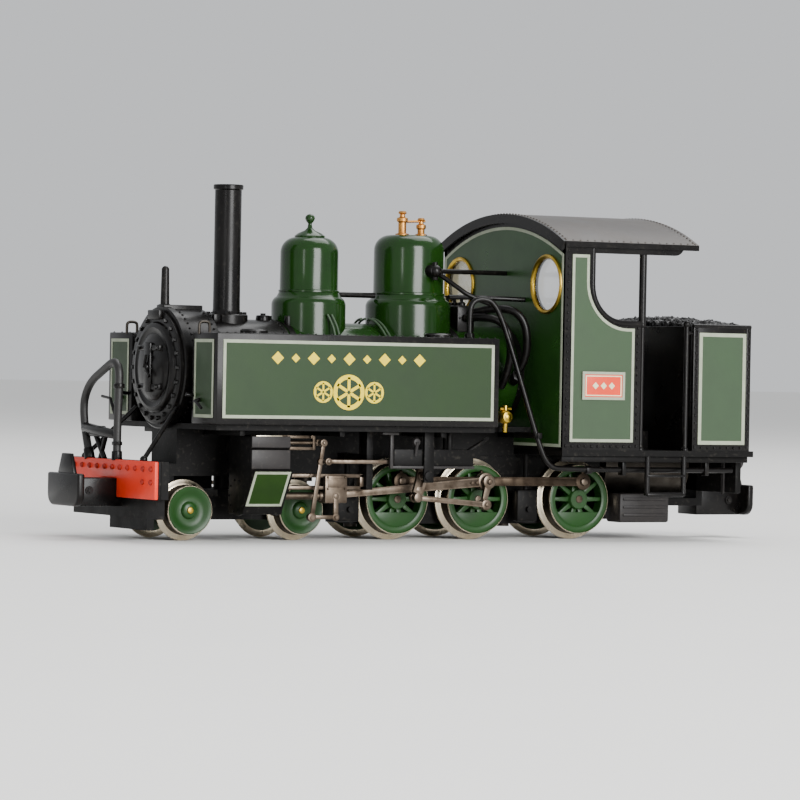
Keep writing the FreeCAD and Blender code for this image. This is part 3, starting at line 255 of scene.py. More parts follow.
@dataclass(frozen=True)
class Coal:
    """Crushed coal: black lumps whose broken faces catch the light."""

    name: str = "crushed_coal"

    def make(self) -> bpy.types.Material:
        """Build the coal's shader and return its material."""
        material, tree, shader = new_material(self.name)
        place = node(tree, "TexCoord")
        facets = node(tree, "TexVoronoi", {"Scale": 1 / (0.45 * MM)}, {"Vector": place.outputs["Object"]})
        tint = node(tree, "Mix", {"data_type": "RGBA", 6: linear("050505"), 7: linear("191818")},
                    {0: facets.outputs["Distance"]})
        tree.links.new(tint.outputs[2], shader.inputs["Base Color"])
        shader.inputs["Roughness"].default_value = 0.42
        shader.inputs["Specular IOR Level"].default_value = 0.35
        bump = node(tree, "Bump", {"Strength": 0.7, "Distance": 0.12 * MM},
                    {"Height": facets.outputs["Distance"]})
        tree.links.new(bump.outputs["Normal"], shader.inputs["Normal"])
        return material


@dataclass(frozen=True)
class Rubber:
    """Moulded soft black hose: dull, with a fine cloth-like skin."""

    name: str = "hose_rubber"

    def make(self) -> bpy.types.Material:
        """Build the rubber's shader and return its material."""
        material, tree, shader = new_material(self.name)
        skin = grain(tree, 0.18, 2.0)
        tint = node(tree, "Mix", {"data_type": "RGBA", 6: linear("0A0908"), 7: linear("171514")},
                    {0: skin.outputs["Fac"]})
        tree.links.new(tint.outputs[2], shader.inputs["Base Color"])
        shader.inputs["Roughness"].default_value = 0.5
        bump = node(tree, "Bump", {"Strength": 0.4, "Distance": 0.03 * MM},
                    {"Height": skin.outputs["Fac"]})
        tree.links.new(bump.outputs["Normal"], shader.inputs["Normal"])
        return material


@dataclass(frozen=True)
class ClearGlaze:
    """Thin clear moulded glazing, nearly invisible but for its gloss."""

    name: str = "clear_glazing"

    def make(self) -> bpy.types.Material:
        """Build the glazing's shader and return its material."""
        material, tree, shader = new_material(self.name)
        haze = grain(tree, 2.0, 1.0)
        rough = spread(tree, haze.outputs["Fac"], 0.03, 0.08)
        tree.links.new(rough.outputs["Result"], shader.inputs["Roughness"])
        shader.inputs["Base Color"].default_value = linear("F4F6F2")
        shader.inputs["Transmission Weight"].default_value = 1.0
        shader.inputs["Alpha"].default_value = 0.25
        shader.inputs["IOR"].default_value = 1.45
        return material


@dataclass(frozen=True)
class Paintshop:
    """Every finish on the engine, mixed once and shared."""

    boiler: Enamel = Enamel("gloss_green_enamel", "13300A", "0E2807", 0.17, peel_depth=0.003, specular=0.32)
    # tank and panel are one side green. tank is painted darker as shade on the tank sides and fronts. panel
    # is painted lighter as reflection on the cab and bunker sides and the sand pipes.
    tank: Enamel = Enamel("satin_green_enamel", "22361A", "1D3016", 0.38, specular=0.25)
    panel: Enamel = Enamel("pale_green_enamel", "344730", "2F412B", 0.4, specular=0.35)
    front: Enamel = Enamel("cab_green_enamel", "1D3E14", "17340F", 0.32, specular=0.35)
    cylinder: Enamel = Enamel("cylinder_green_enamel", "1B3704", "142D02", 0.4, specular=0.2)
    wheel: Enamel = Enamel("wheel_green_enamel", "1D4017", "173612", 0.36, specular=0.3)
    black: Enamel = Enamel("satin_black_enamel", "070606", "0D0B0A", 0.3, peel_depth=0.012, specular=0.2,
                           dust=0.03)
    dull: Enamel = Enamel("frame_black_enamel", "070606", "0C0B0A", 0.5, peel_depth=0.02, specular=0.12,
                          dust=0.05)
    chest: Enamel = Enamel("grey_black_enamel", "222020", "2A2726", 0.45, peel_depth=0.015, specular=0.25,
                           dust=0.05)
    # Roof base is lighter and warmer than the black: partly a painted highlight from the light above, with
    # real dust specks on it.
    roof: Enamel = Enamel("roof_enamel", "241D17", "332B23", 0.4, mottle_mm=4.0, peel_depth=0.02, dust=0.06)
    red: Enamel = Enamel("beam_red_enamel", "E23418", "D02E15", 0.4, specular=0.3)
    # The beam's red painted darker on the rivet heads as shade.
    rivet: Enamel = Enamel("beam_rivet_enamel", "9A1D0C", "861808", 0.4, specular=0.3)
    plate: Enamel = Enamel("plate_red_enamel", "E8452A", "D83C22", 0.4, specular=0.3)
    white: Enamel = Enamel("lining_white", "989F8B", "8B927E", 0.5, mottle_mm=1.5, specular=0.3)
    cream: Enamel = Enamel("cream_enamel", "E6DDB8", "DCD2A9", 0.5, mottle_mm=3.0, specular=0.3)
    yellow: Enamel = Enamel("ornament_yellow", "E6CC1A", "DBBF15", 0.45, mottle_mm=1.2, specular=0.3)
    tyre: BareMetal = BareMetal("turned_nickel", "D8CCB4", "8C7C64", 0.2, 0.35)
    # The tyre metal painted dark on the tread as shade; its brown patches are oil film.
    tread: BareMetal = BareMetal("worn_tread", "3A332A", "211C17", 0.34, 0.6)
    motion: BareMetal = BareMetal("oiled_steel", "665B50", "33291F", 0.3, 0.8)
    rod: BareMetal = BareMetal("dark_rod_steel", "40372E", "231B15", 0.34, 0.8)
    steel: BareMetal = BareMetal("drawn_steel", "46423D", "2A241F", 0.34, 0.5)
    brass: BareMetal = BareMetal("polished_brass", "B99A3A", "7E6526", 0.22, 0.5)
    valve: BareMetal = BareMetal("cast_bronze", "C08A48", "8E5F30", 0.3, 0.4)
    coal: Coal = Coal()
    rubber: Rubber = Rubber()
    glaze: ClearGlaze = ClearGlaze()


SHOP = Paintshop()
MIXED: dict[str, bpy.types.Material] = {}


def finish_of(coat: object) -> bpy.types.Material:
    """The material of a finish, made the first time that it is asked for."""
    if coat.name not in MIXED:
        MIXED[coat.name] = coat.make()
    return MIXED[coat.name]


# ------------------------------------------------------------------ workpieces


@dataclass(frozen=True)
class Box:
    """A node's box in millimetres."""

    low: Vector
    high: Vector

    @property
    def centre(self) -> Vector:
        """Middle of the box."""
        return (self.low + self.high) / 2


def box_of(name: str) -> Box:
    """The box of a fixed node at rest, in millimetres."""
    low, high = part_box(name)
    return Box(low / MM, high / MM)


def flat_face(part: bmesh.types.BMesh, outline: Sequence[Point], inset: float) -> list[bmesh.types.BMFace]:
    """Add one flat face that stops short of its outline all round.

    Args:
        part: The mesh that it joins.
        outline: Corners, in order.
        inset: Distance kept clear inside the outline, which may be nothing.

    Returns:
        The face that is left, in a list.
    """
    face = part.faces.new([part.verts.new(corner) for corner in outline])
    face.normal_update()
    if inset > 0:
        rim = bmesh.ops.inset_region(part, faces=[face], thickness=inset, use_boundary=True,
                                     use_even_offset=True)
        bmesh.ops.delete(part, geom=rim["faces"], context="FACES")
        face.normal_update()
    return [face]


def thicken(part: bmesh.types.BMesh, faces: Sequence[bmesh.types.BMFace], push: Sequence[float]) -> None:
    """Give flat faces thickness.

    Args:
        part: The mesh that holds them.
        faces: The faces.
        push: The vector from the old faces to the new ones.
    """
    pushed = bmesh.ops.extrude_face_region(part, geom=list(faces))
    moved = [item for item in pushed["geom"] if isinstance(item, bmesh.types.BMVert)]
    bmesh.ops.translate(part, verts=moved, vec=Vector(push))
    bmesh.ops.recalc_face_normals(part, faces=part.faces)


def pierced(part: bmesh.types.BMesh, holes: Sequence[Point], radius: float) -> bpy.types.Mesh:
    """A solid with round holes cut through it along X.

    Args:
        part: The solid, which is used up.
        holes: Centres of the holes.
        radius: Their radius.

    Returns:
        The cut solid as a new mesh.
    """
    cutter = bmesh.new()
    for x, y, z in holes:
        turn = Matrix.Translation((x, y, z)) @ Matrix.Rotation(math.pi / 2, 4, "Y")
        bmesh.ops.create_cone(cutter, cap_ends=True, segments=64, radius1=radius, radius2=radius, depth=4,
                              matrix=turn)
    pair = []
    for name, mesh in (("solid", part), ("cutter", cutter)):
        data = bpy.data.meshes.new(name)
        mesh.to_mesh(data)
        mesh.free()
        pair.append(bpy.data.objects.new(name, data))
        bpy.context.scene.collection.objects.link(pair[-1])
    solid, tool = pair
    cut = solid.modifiers.new("holes", "BOOLEAN")
    cut.operation = "DIFFERENCE"
    cut.object = tool
    cut.solver = "EXACT"
    bpy.context.view_layer.update()
    result = bpy.data.meshes.new_from_object(solid.evaluated_get(bpy.context.evaluated_depsgraph_get()))
    for item in pair:
        bpy.data.objects.remove(item)
    return result


class Workpiece:
    """One piece under the tool, in millimetres, until it is finished and mounted."""

    def __init__(self, name: str) -> None:
        """Start an empty piece with the name it will keep."""
        self.name = name
        self.mesh = bmesh.new()

    def take(self, part: bmesh.types.BMesh) -> None:
        """Join a shaped part to the piece, with its faces turned outwards.

        Args:
            part: The part, which is used up.
        """
        bmesh.ops.recalc_face_normals(part, faces=part.faces)
        carrier = bpy.data.meshes.new("carrier")
        part.to_mesh(carrier)
        part.free()
        self.mesh.from_mesh(carrier)
        bpy.data.meshes.remove(carrier)

    def block(self, low: Sequence[float], high: Sequence[float], bevel: float = 0.08, steps: int = 2) -> None:
        """A rectangular block with softened edges.

        Args:
            low: Lowest corner.
            high: Highest corner.
            bevel: Width of the softened edge.
            steps: Segments across it.
        """
        part = bmesh.new()
        size = Vector(high) - Vector(low)
        place = Matrix.Translation((Vector(high) + Vector(low)) / 2)
        bmesh.ops.create_cube(part, size=1.0, matrix=place @ Matrix.Diagonal(size.to_4d()))
        self._soften(part, min(bevel, min(size) * 0.45), steps)
        self.take(part)

    @staticmethod
    def _soften(part: bmesh.types.BMesh, bevel: float, steps: int, sharp: float = 0.6) -> None:
        """Round the sharp edges of a part."""
        if bevel <= 0:
            return
        edges = [edge for edge in part.edges
                 if len(edge.link_faces) == 2 and edge.calc_face_angle(0.0) > sharp]
        bmesh.ops.bevel(part, geom=edges, offset=bevel, segments=steps, profile=0.5,
                        affect="EDGES", material=-1, clamp_overlap=True)

    def slab(self, outline: Sequence[Point], thickness: Sequence[float], bevel: float = 0.06,
             steps: int = 2) -> None:
        """A flat outline given thickness.

        Args:
            outline: Corners of the flat face, in order.
            thickness: The vector that the face is pushed along.
            bevel: Width of the softened edge.
            steps: Segments across it.
        """
        part = bmesh.new()
        face = part.faces.new([part.verts.new(corner) for corner in outline])
        pushed = bmesh.ops.extrude_face_region(part, geom=[face])
        moved = [item for item in pushed["geom"] if isinstance(item, bmesh.types.BMVert)]
        bmesh.ops.translate(part, verts=moved, vec=Vector(thickness))
        bmesh.ops.recalc_face_normals(part, faces=part.faces)
        self._soften(part, bevel, steps)
        self.take(part)

    def border(self, outline: Sequence[Point], inset: float, width: float,
               thickness: Sequence[float]) -> None:
        """A line of even width that follows an outline.

        Args:
            outline: Corners of the flat face, in order.
            inset: Distance from the outline to the line's outer edge.
            width: The line's width.
            thickness: The vector that the line stands proud along.
        """
        part = bmesh.new()
        inner = flat_face(part, outline, inset)
        line = bmesh.ops.inset_region(part, faces=inner, thickness=width, use_boundary=True,
                                      use_even_offset=True)["faces"]
        bmesh.ops.delete(part, geom=inner, context="FACES")
        thicken(part, line, thickness)
        self.take(part)

    def panel(self, outline: Sequence[Point], inset: float, thickness: Sequence[float]) -> None:
        """A panel that stops short of its outline all round.

        Args:
            outline: Corners of the flat face, in order.
            inset: Distance kept clear inside the outline.
            thickness: The vector that the panel stands proud along.
        """
        part = bmesh.new()
        thicken(part, flat_face(part, outline, inset), thickness)
        self.take(part)

    def rod(self, start: Sequence[float], end: Sequence[float], radius: float,
            end_radius: Optional[float] = None, sides: int = 24, bevel: float = 0.0) -> None:
        """A round bar between two points.

        Args:
            start: Centre of its first end.
            end: Centre of its other end.
            radius: Radius at the start.
            end_radius: Radius at the end, the same when left out.
            sides: Flats round it.
            bevel: Width of the softened end edges.
        """
        part = bmesh.new()
        run = Vector(end) - Vector(start)
        turn = run.to_track_quat("Z", "Y").to_matrix().to_4x4()
        place = Matrix.Translation((Vector(start) + Vector(end)) / 2) @ turn
        bmesh.ops.create_cone(part, cap_ends=True, segments=sides, radius1=radius,
                              radius2=radius if end_radius is None else end_radius,
                              depth=run.length, matrix=place)
        if bevel > 0:
            self._soften(part, bevel, 2, sharp=1.0)
        self.take(part)

    def lathe(self, profile: Sequence[tuple[float, float]], origin: Sequence[float], axis: Axis,
              steps: int = 48) -> None:
        """A round piece turned from a profile.

        Args:
            profile: Radius and distance along the axis, in order; a zero radius closes an end.
            origin: Point on the axis from which the distances are taken.
            axis: The axis's direction.
            steps: Flats round it.
        """
        part = bmesh.new()
        verts = [part.verts.new((radius, 0.0, along)) for radius, along in profile]
        edges = [part.edges.new(pair) for pair in zip(verts, verts[1:])]
        if profile[0][0] > 0 and profile[-1][0] > 0:
            edges.append(part.edges.new((verts[-1], verts[0])))
        bmesh.ops.spin(part, geom=verts + edges, cent=(0, 0, 0), axis=(0, 0, 1), angle=math.tau,
                       steps=steps, use_merge=True)
        bmesh.ops.remove_doubles(part, verts=part.verts, dist=1e-4)
        turn = axis.value.to_track_quat("Z", "Y").to_matrix().to_4x4()
        bmesh.ops.transform(part, matrix=Matrix.Translation(origin) @ turn, verts=part.verts)
        self.take(part)

    def ball(self, centre: Sequence[float], radius: float, squash: Sequence[float] = (1, 1, 1),
             rings: int = 8) -> None:
        """A ball, or an egg when it is squashed."""
        part = bmesh.new()
        place = Matrix.Translation(centre) @ Matrix.Diagonal(Vector(squash).to_4d())
        bmesh.ops.create_uvsphere(part, u_segments=rings * 2, v_segments=rings, radius=radius, matrix=place)
        self.take(part)

    def rivets(self, start: Sequence[float], end: Sequence[float], pitch: float,
               radius: float = 0.13) -> None:
        """A row of snap-head rivets from one point to another.

        Args:
            start: First rivet.
            end: Last rivet.
            pitch: Wanted distance between rivets.
            radius: Radius of a head.
        """
        run = Vector(end) - Vector(start)
        count = max(1, round(run.length / pitch))
        for number in range(count + 1):
            self.stud(Vector(start) + run * number / count, radius)

    def stud(self, centre: Sequence[float], radius: float) -> None:
        """One rivet head, of a few dozen faces."""
        part = bmesh.new()
        bmesh.ops.create_uvsphere(part, u_segments=8, v_segments=5, radius=radius,
                                  matrix=Matrix.Translation(centre))
        self.take(part)

    def turned(self, centre: Sequence[float], axis: Axis, angle: float) -> None:
        """Turn everything made so far about a point."""
        turn = Matrix.Rotation(angle, 4, axis.value)
        place = Matrix.Translation(centre)
        bmesh.ops.transform(self.mesh, matrix=place @ turn @ place.inverted(), verts=self.mesh.verts)

    def mirror(self, keep: bool = True) -> None:
        """Reflect the piece to the other side.

        Args:
            keep: Whether the original stays as well.
        """
        twin = self.mesh.copy()
        bmesh.ops.scale(twin, vec=(1, -1, 1), verts=twin.verts)
        bmesh.ops.reverse_faces(twin, faces=twin.faces)
        carrier = bpy.data.meshes.new("carrier")
        twin.to_mesh(carrier)
        twin.free()
        if not keep:
            self.mesh.clear()
        self.mesh.from_mesh(carrier)
        bpy.data.meshes.remove(carrier)

    def mount(self, coat: object, body: str = "root", replaces: Iterable[str] = (),
              smooth_below: float = 40.0) -> bpy.types.Object:
        """Finish the piece: bring it to metres, paint it and fix it to a body.

        Args:
            coat: Its finish.
            body: The body that it rides on.
            replaces: Fixed nodes that it stands for.
            smooth_below: Edges flatter than this many degrees are shaded smooth.

        Returns:
            The finished object.
        """
        bmesh.ops.scale(self.mesh, vec=(MM, MM, MM), verts=self.mesh.verts)
        data = bpy.data.meshes.new(self.name)
        for face in self.mesh.faces:
            face.smooth = True
        for edge in self.mesh.edges:
            edge.smooth = edge.calc_face_angle(0.0) < math.radians(smooth_below)
        self.mesh.to_mesh(data)
        self.mesh.free()
        piece = bpy.data.objects.new(self.name, data)
        bpy.context.scene.collection.objects.link(piece)
        piece.data.materials.append(finish_of(coat))
        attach(piece, body)
        if replaces:
            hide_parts(*replaces)
        LOG.info("%s rides on %s, %d faces", self.name, body, len(data.polygons))
        return piece


def arc(centre: Sequence[float], radius: float, first: float, last: float,
        steps: int) -> list[tuple[float, float]]:
    """Points along a circular arc.

    Args:
        centre: The arc's centre, as two coordinates.
        radius: Its radius.
        first: Angle of its first point in degrees.
        last: Angle of its last point in degrees.
        steps: Number of chords.

    Returns:
        The points, the ends included.
    """
    points = []
    for number in range(steps + 1):
        angle = math.radians(first + (last - first) * number / steps)
        points.append((centre[0] + radius * math.cos(angle), centre[1] + radius * math.sin(angle)))
    return points


def bent_pipe(name: str, runs: Sequence[Sequence[Point]], radius: float, coat: object,
              replaces: Iterable[str] = (), body: str = "root") -> bpy.types.Object:
    """Pipes or rods that follow smooth curves.

    Args:
        name: The piece's name.
        runs: For each pipe, the points that its curve is drawn towards.
        radius: The pipes' radius.
        coat: Their finish.
        replaces: Fixed nodes that the piece stands for.
        body: The body that it rides on.

    Returns:
        The finished object.
    """
    data = bpy.data.curves.new(name, "CURVE")
    data.dimensions = "3D"
    data.bevel_depth = radius * MM
    data.bevel_resolution = 4
    data.resolution_u = 10
    data.use_fill_caps = True
    for points in runs:
        spline = data.splines.new("NURBS")
        spline.points.add(len(points) - 1)
        for control, place in zip(spline.points, points):
            control.co = (*(value * MM for value in place), 1.0)
        spline.order_u = 3
        spline.use_endpoint_u = True
    draft = bpy.data.objects.new(name + "_draft", data)
    mesh = bpy.data.meshes.new_from_object(draft)
    bpy.data.objects.remove(draft)
    mesh.name = name
    piece = bpy.data.objects.new(name, mesh)
    bpy.context.scene.collection.objects.link(piece)
    piece.data.materials.clear()
    piece.data.materials.append(finish_of(coat))
    for face in piece.data.polygons:
        face.use_smooth = True
    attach(piece, body)
    if replaces:
        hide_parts(*replaces)
    LOG.info("%s rides on %s, %d faces", name, body, len(mesh.polygons))
    return piece


def mirrored(points: Sequence[Point]) -> list[Point]:
    """The same points on the engine's other side."""
    return [(x, -y, z) for x, y, z in points]


# ------------------------------------------------------------------ boiler, smokebox and fittings


@dataclass
class Boiler:
    """Lagged barrel with its bands, domes, safety valves and the box behind them."""

    band_width: float = 0.7
    band_height: float = 0.1
    dome_shoulder: float = 1.7

    def build(self) -> None:
        """Make every part of the boiler."""
        self.barrel()
        self.dome("sand_dome", 3.2, 4.1, 33.1)
        self.dome("steam_dome", 3.9, 4.75, 33.7)
        self.finial()
        self.safety_valves()
        self.turret()
        self.fittings()

    def barrel(self) -> None:
        """The barrel, and bands over the joints of its lagging."""
        box = box_of("boiler")
        radius = (box.high.z - box.low.z) / 2
        centre = (0, 0, box.centre.z)
        shell = Workpiece("boiler_barrel")
        shell.lathe([(radius - 0.6, box.low.x), (radius, box.low.x), (radius, box.high.x),
                     (radius - 0.6, box.high.x)], centre, Axis.X, 96)
        shell.mount(SHOP.boiler, replaces=["boiler"])
        bands = Workpiece("boiler_bands")
        for x in (box.low.x + 0.5, -3.0, box.high.x - 0.6):
            high = radius + self.band_height
            bands.lathe([(radius - 0.1, x - self.band_width / 2), (high, x - self.band_width / 2),
                         (high, x + self.band_width / 2), (radius - 0.1, x + self.band_width / 2)],
                        centre, Axis.X, 96)
        bands.mount(SHOP.black)

    def dome(self, name: str, radius: float, drum: float, top: float) -> None:
        """A bell-shaped dome cover: a drum, a rounded waist and a straight body with a round shoulder.

        Args:
            name: The fixed node that it stands for.
            radius: Radius of the body.
            drum: Radius of the drum at its foot.
            top: Height of its crown.
        """
        box = box_of(name)
        boiler = box_of("boiler")
        waist = 26.9
        drum_top = waist - (drum - radius)
        profile = [(drum, boiler.centre.z + 2.0), (drum, drum_top - 0.35)]
        profile += [(x, z) for x, z in arc((radius - 0.1, drum_top - 0.35), drum - radius + 0.1, 0, 62, 7)]
        profile += [(radius + 0.02, waist + 0.28)]
        round_off = self.dome_shoulder
        profile += arc((radius - round_off, top - round_off), round_off, 0, 90, 10)
        profile += [(0.8, top + 0.06), (0.0, top + 0.08)]
        piece = Workpiece(name + "_cover")
        piece.lathe([(0.0, boiler.centre.z + 2.0)] + profile, (box.centre.x, 0, 0), Axis.Z, 96)
        piece.mount(SHOP.boiler, replaces=[name])
        bead = Workpiece(name + "_bead")
        bead.lathe([(radius, waist + 0.1), (radius + 0.16, waist + 0.16), (radius + 0.16, waist + 0.34),
                    (radius, waist + 0.42)], (box.centre.x, 0, 0), Axis.Z, 96)
        bead.mount(SHOP.boiler)

    def finial(self) -> None:
        """Lid and knob on the sand dome."""
        box = box_of("sand_dome")
        piece = Workpiece("sand_dome_lid")
        piece.lathe([(0, 33.0), (1.65, 33.0), (1.7, 33.25), (1.3, 33.55), (0.6, 33.85), (0.28, 34.15),
                     (0.2, 34.6), (0.42, 34.85), (0.55, 35.15), (0.5, 35.4), (0.3, 35.6), (0, 35.68)],
                    (box.centre.x, 0, 0), Axis.Z, 40)
        piece.mount(SHOP.boiler)

    def safety_valves(self) -> None:
        """Two bronze safety valves with their levers on the steam dome."""
        box = box_of("steam_dome")
        piece = Workpiece("safety_valves")
        foot = box.high.z - 0.1
        for offset, top, radius in ((0.9, 36.4, 0.62), (-1.5, 35.7, 0.55)):
            x = box.centre.x + offset
            piece.lathe([(0, foot), (radius + 0.15, foot), (radius + 0.15, foot + 0.25),
                         (radius * 0.72, foot + 0.35), (radius * 0.72, top - 1.3),
                         (radius, top - 1.15), (radius, top - 0.8), (radius * 0.5, top - 0.65),
                         (radius * 0.45, top - 0.4), (radius * 0.8, top - 0.25),
                         (radius * 0.6, top - 0.02), (0, top)], (x, 0, 0), Axis.Z, 28)
        x_front, x_rear = box.centre.x + 0.9, box.centre.x - 1.5
        piece.rod((x_front, 0, 35.2), (x_rear - 0.5, 0, 35.35), 0.14, sides=10)
        piece.mount(SHOP.valve, replaces=["brass_fittings"])

    def turret(self) -> None:
        """Black fittings box behind the steam dome, with its cocks."""
        box = box_of("turret_box")
        piece = Workpiece("turret_cover")
        piece.block((box.low.x, box.low.y, box.low.z), box.high, 0.25)
        for y in (-1.6, 0, 1.6):
            piece.lathe([(0, box.high.z - 0.1), (0.42, box.high.z - 0.1), (0.42, box.high.z + 0.35),
                         (0.2, box.high.z + 0.45), (0.2, box.high.z + 0.9), (0.34, box.high.z + 1.0),
                         (0.34, box.high.z + 1.15), (0, box.high.z + 1.2)],
                        (box.centre.x, y, 0), Axis.Z, 16)
        piece.rivets((box.low.x + 0.3, box.high.y, box.low.z + 1.6),
                     (box.high.x - 0.3, box.high.y, box.low.z + 1.6),
                     0.8, 0.12)
        piece.mount(SHOP.black, replaces=["turret_box"])

    def fittings(self) -> None:
        """Regulator valve on the dome, its rods, and thin feed pipes over the barrel."""
        dome = box_of("steam_dome")
        cab = box_of("cab_shell")
        x = dome.centre.x
        body = Workpiece("dome_valve")
        body.rod((x - 0.5, 3.2, 29.7), (x - 0.8, 4.7, 29.7), 0.8, 0.62, 20, 0.1)
        body.ball((x - 0.9, 4.5, 29.7), 0.72)
        body.rod((x - 0.9, 4.4, 28.7), (x - 0.9, 4.4, 30.7), 0.36, 0.3, 16, 0.06)
        body.rod((x - 1.8, 4.2, 29.4), (x - 0.9, 4.5, 29.7), 0.45, 0.45, 6, 0.05)
        body.mount(SHOP.black)
        bent_pipe("dome_pipes", [
            [(x - 0.9, 4.4, 29.7), (x - 5.0, 2.9, 29.75), (cab.high.x + 0.1, 0.7, 29.8)],
            [(x - 1.2, 4.4, 29.5), (x - 3.6, 4.2, 28.2), (x - 5.4, 4.4, 27.0), (x - 7.6, 5.2, 26.2)],
            [(x - 3.8, 2.5, 26.9), (x - 5.6, 2.6, 26.95), (x - 8.0, 4.0, 26.9),
             (cab.high.x + 0.1, 5.0, 26.8)],
        ], 0.27, SHOP.black)
        sand = box_of("sand_dome").centre.x
        runs = []
        for step in (0.0, 0.5):
            runs.append([(sand - 0.1 - step, 4.3, 24.6), (sand - 0.4 - step, 4.55, 23.9),
                         (sand - 0.7 - step, 4.9, 22.8), (sand - 0.8 - step, 5.1, 21.6)])
            runs.append([(x + 4.9 + step, 0.9, 24.3), (x + 4.9 + step, 2.0, 24.2),
                         (x + 4.6 + step, 3.6, 23.1), (x + 4.4 + step, 4.6, 21.8)])
        runs += [mirrored(points) for points in runs]
        # The sand pipes take the side green that is painted lighter as reflection.
        bent_pipe("sand_pipes", runs, 0.14, SHOP.panel)


@dataclass
class Smokebox:
    """Riveted smokebox with its door, chimney and saddle."""

    rivet: float = 0.14
    bolts: int = 22

    def build(self) -> None:
        """Make every part of the smokebox."""
        box = box_of("smokebox")
        centre_z = box_of("boiler").centre.z
        radius = 6.4
        front = box.high.x
        shell = Workpiece("smokebox_shell")
        drum, step = 5.4, 27.1
        shell.lathe([(drum - 0.6, box.low.x), (drum, box.low.x), (drum, step), (radius - 0.06, step),
                     (radius, step + 0.08), (radius, front - 0.85), (radius + 0.2, front - 0.8),
                     (radius + 0.2, front - 0.12), (radius + 0.06, front), (radius - 0.6, front)],
                    (0, 0, centre_z), Axis.X, 96)
        shell.block((20.5, -4.5, box_of("footplate").high.z - 0.1), (28.5, 4.5, centre_z - 4.6), 0.15)
        for x, reach in ((box.low.x + 0.5, drum), (step - 0.5, drum), (step + 0.5, radius),
                         (front - 1.3, radius)):
            for number in range(52):
                angle = math.tau * number / 52
                shell.stud((x, reach * math.sin(angle), centre_z + reach * math.cos(angle)), self.rivet)
        shell.block((step, -0.95, centre_z + radius - 0.9), (front - 0.05, 0.95, centre_z + radius + 0.38),
                    0.1)
        shell.rod((19.3, 0, centre_z + drum - 0.3), (19.3, 0, centre_z + drum + 0.5), 0.85, 0.75, 28, 0.1)
        shell.rod((19.3, 0, centre_z + drum + 0.5), (19.3, 0, centre_z + drum + 0.72), 0.3, 0.3, 6, 0.04)
        for y in (-1.9, 1.9):
            shell.rod((17.2, y, centre_z + 4.7), (17.2, y, centre_z + 5.9), 0.42, 0.36, 20, 0.06)
            shell.block((25.6, y - 0.4, centre_z + 4.9), (26.4, y + 0.4, centre_z + 5.9), 0.1)
        shell.mount(SHOP.black, replaces=["smokebox"])
        self.door(front, centre_z)
        self.chimney(centre_z)

    def door(self, front: float, centre_z: float) -> None:
        """Dished door, its ring of bolts, hinge straps, hand rail and the plate on it.

        Args:
            front: X of the smokebox's front.
            centre_z: Height of its centre.
        """
        door = Workpiece("smokebox_door_dish")
        door.lathe([(0, 0), (6.1, 0), (6.1, 0.28), (5.95, 0.36), (4.95, 0.36), (4.85, 0.62), (4.7, 0.74),
                    (4.3, 0.78), (4.15, 0.66), (3.7, 0.66), (3.55, 0.84), (2.8, 1.06), (1.6, 1.22),
                    (0.8, 1.28), (0, 1.3)],
                   (front, 0, centre_z), Axis.X, 96)
        for number in range(self.bolts):
            angle = math.tau * (number + 0.5) / self.bolts
            y, z = 5.5 * math.sin(angle), 5.5 * math.cos(angle)
            door.rod((front + 0.3, y, centre_z + z), (front + 0.62, y, centre_z + z), 0.27, 0.22, 6)
        for height in (-2.1, 2.1):
            door.block((front + 0.8, -2.7, centre_z + height - 0.3),
                       (front + 1.3, 2.7, centre_z + height + 0.3), 0.1)
        for y in (-2.2, 2.2):
            for height in (-2.1, 2.1):
                door.rod((front + 1.2, y, centre_z + height), (front + 1.5, y, centre_z + height), 0.26,
                         0.22, 6)
        door.block((front + 1.05, -0.75, centre_z - 2.7), (front + 1.5, 0.75, centre_z + 2.7), 0.16)
        door.rod((front + 1.4, 0, centre_z), (front + 1.75, 0, centre_z), 0.55, 0.5, 24, 0.08)
        door.rod((front + 1.65, 0.1, centre_z), (front + 1.7, 1.2, centre_z - 1.0), 0.16, sides=10)
        door.rod((front + 1.72, -0.1, centre_z), (front + 1.78, 0.5, centre_z + 1.3), 0.16, sides=10)
        door.block((front + 0.3, -1.4, centre_z + 5.2), (front + 0.8, 1.4, centre_z + 6.2), 0.1)
        door.mount(SHOP.black, replaces=["smokebox_door"])

    def chimney(self, centre_z: float) -> None:
        """Stovepipe chimney with its lip and bolted foot.

        Args:
            centre_z: Height of the smokebox's centre.
        """
        box = box_of("chimney")
        x, top = box.centre.x, box.high.z
        foot = centre_z + 5.4
        stack = Workpiece("chimney_stack")
        stack.lathe([(1.05, foot - 0.6), (2.35, foot - 0.6), (2.35, foot + 0.42), (2.25, foot + 0.5),
                     (1.66, foot + 0.55),
                     (1.54, foot + 0.75), (1.48, foot + 1.1), (1.46, 30.0), (1.46, top - 0.62),
                     (1.52, top - 0.55),
                     (1.62, top - 0.5), (1.64, top - 0.12), (1.58, top), (1.1, top), (1.05, top - 0.2)],
                    (x, 0, 0), Axis.Z, 64)
        for number in range(8):
            angle = math.tau * (number + 0.5) / 8
            along, across = 1.98 * math.cos(angle), 1.98 * math.sin(angle)
            stack.rod((x + along, across, foot + 0.4), (x + along, across, foot + 0.78), 0.26, 0.22, 6)
        stack.mount(SHOP.black, replaces=["chimney"])


# ------------------------------------------------------------------ side tanks


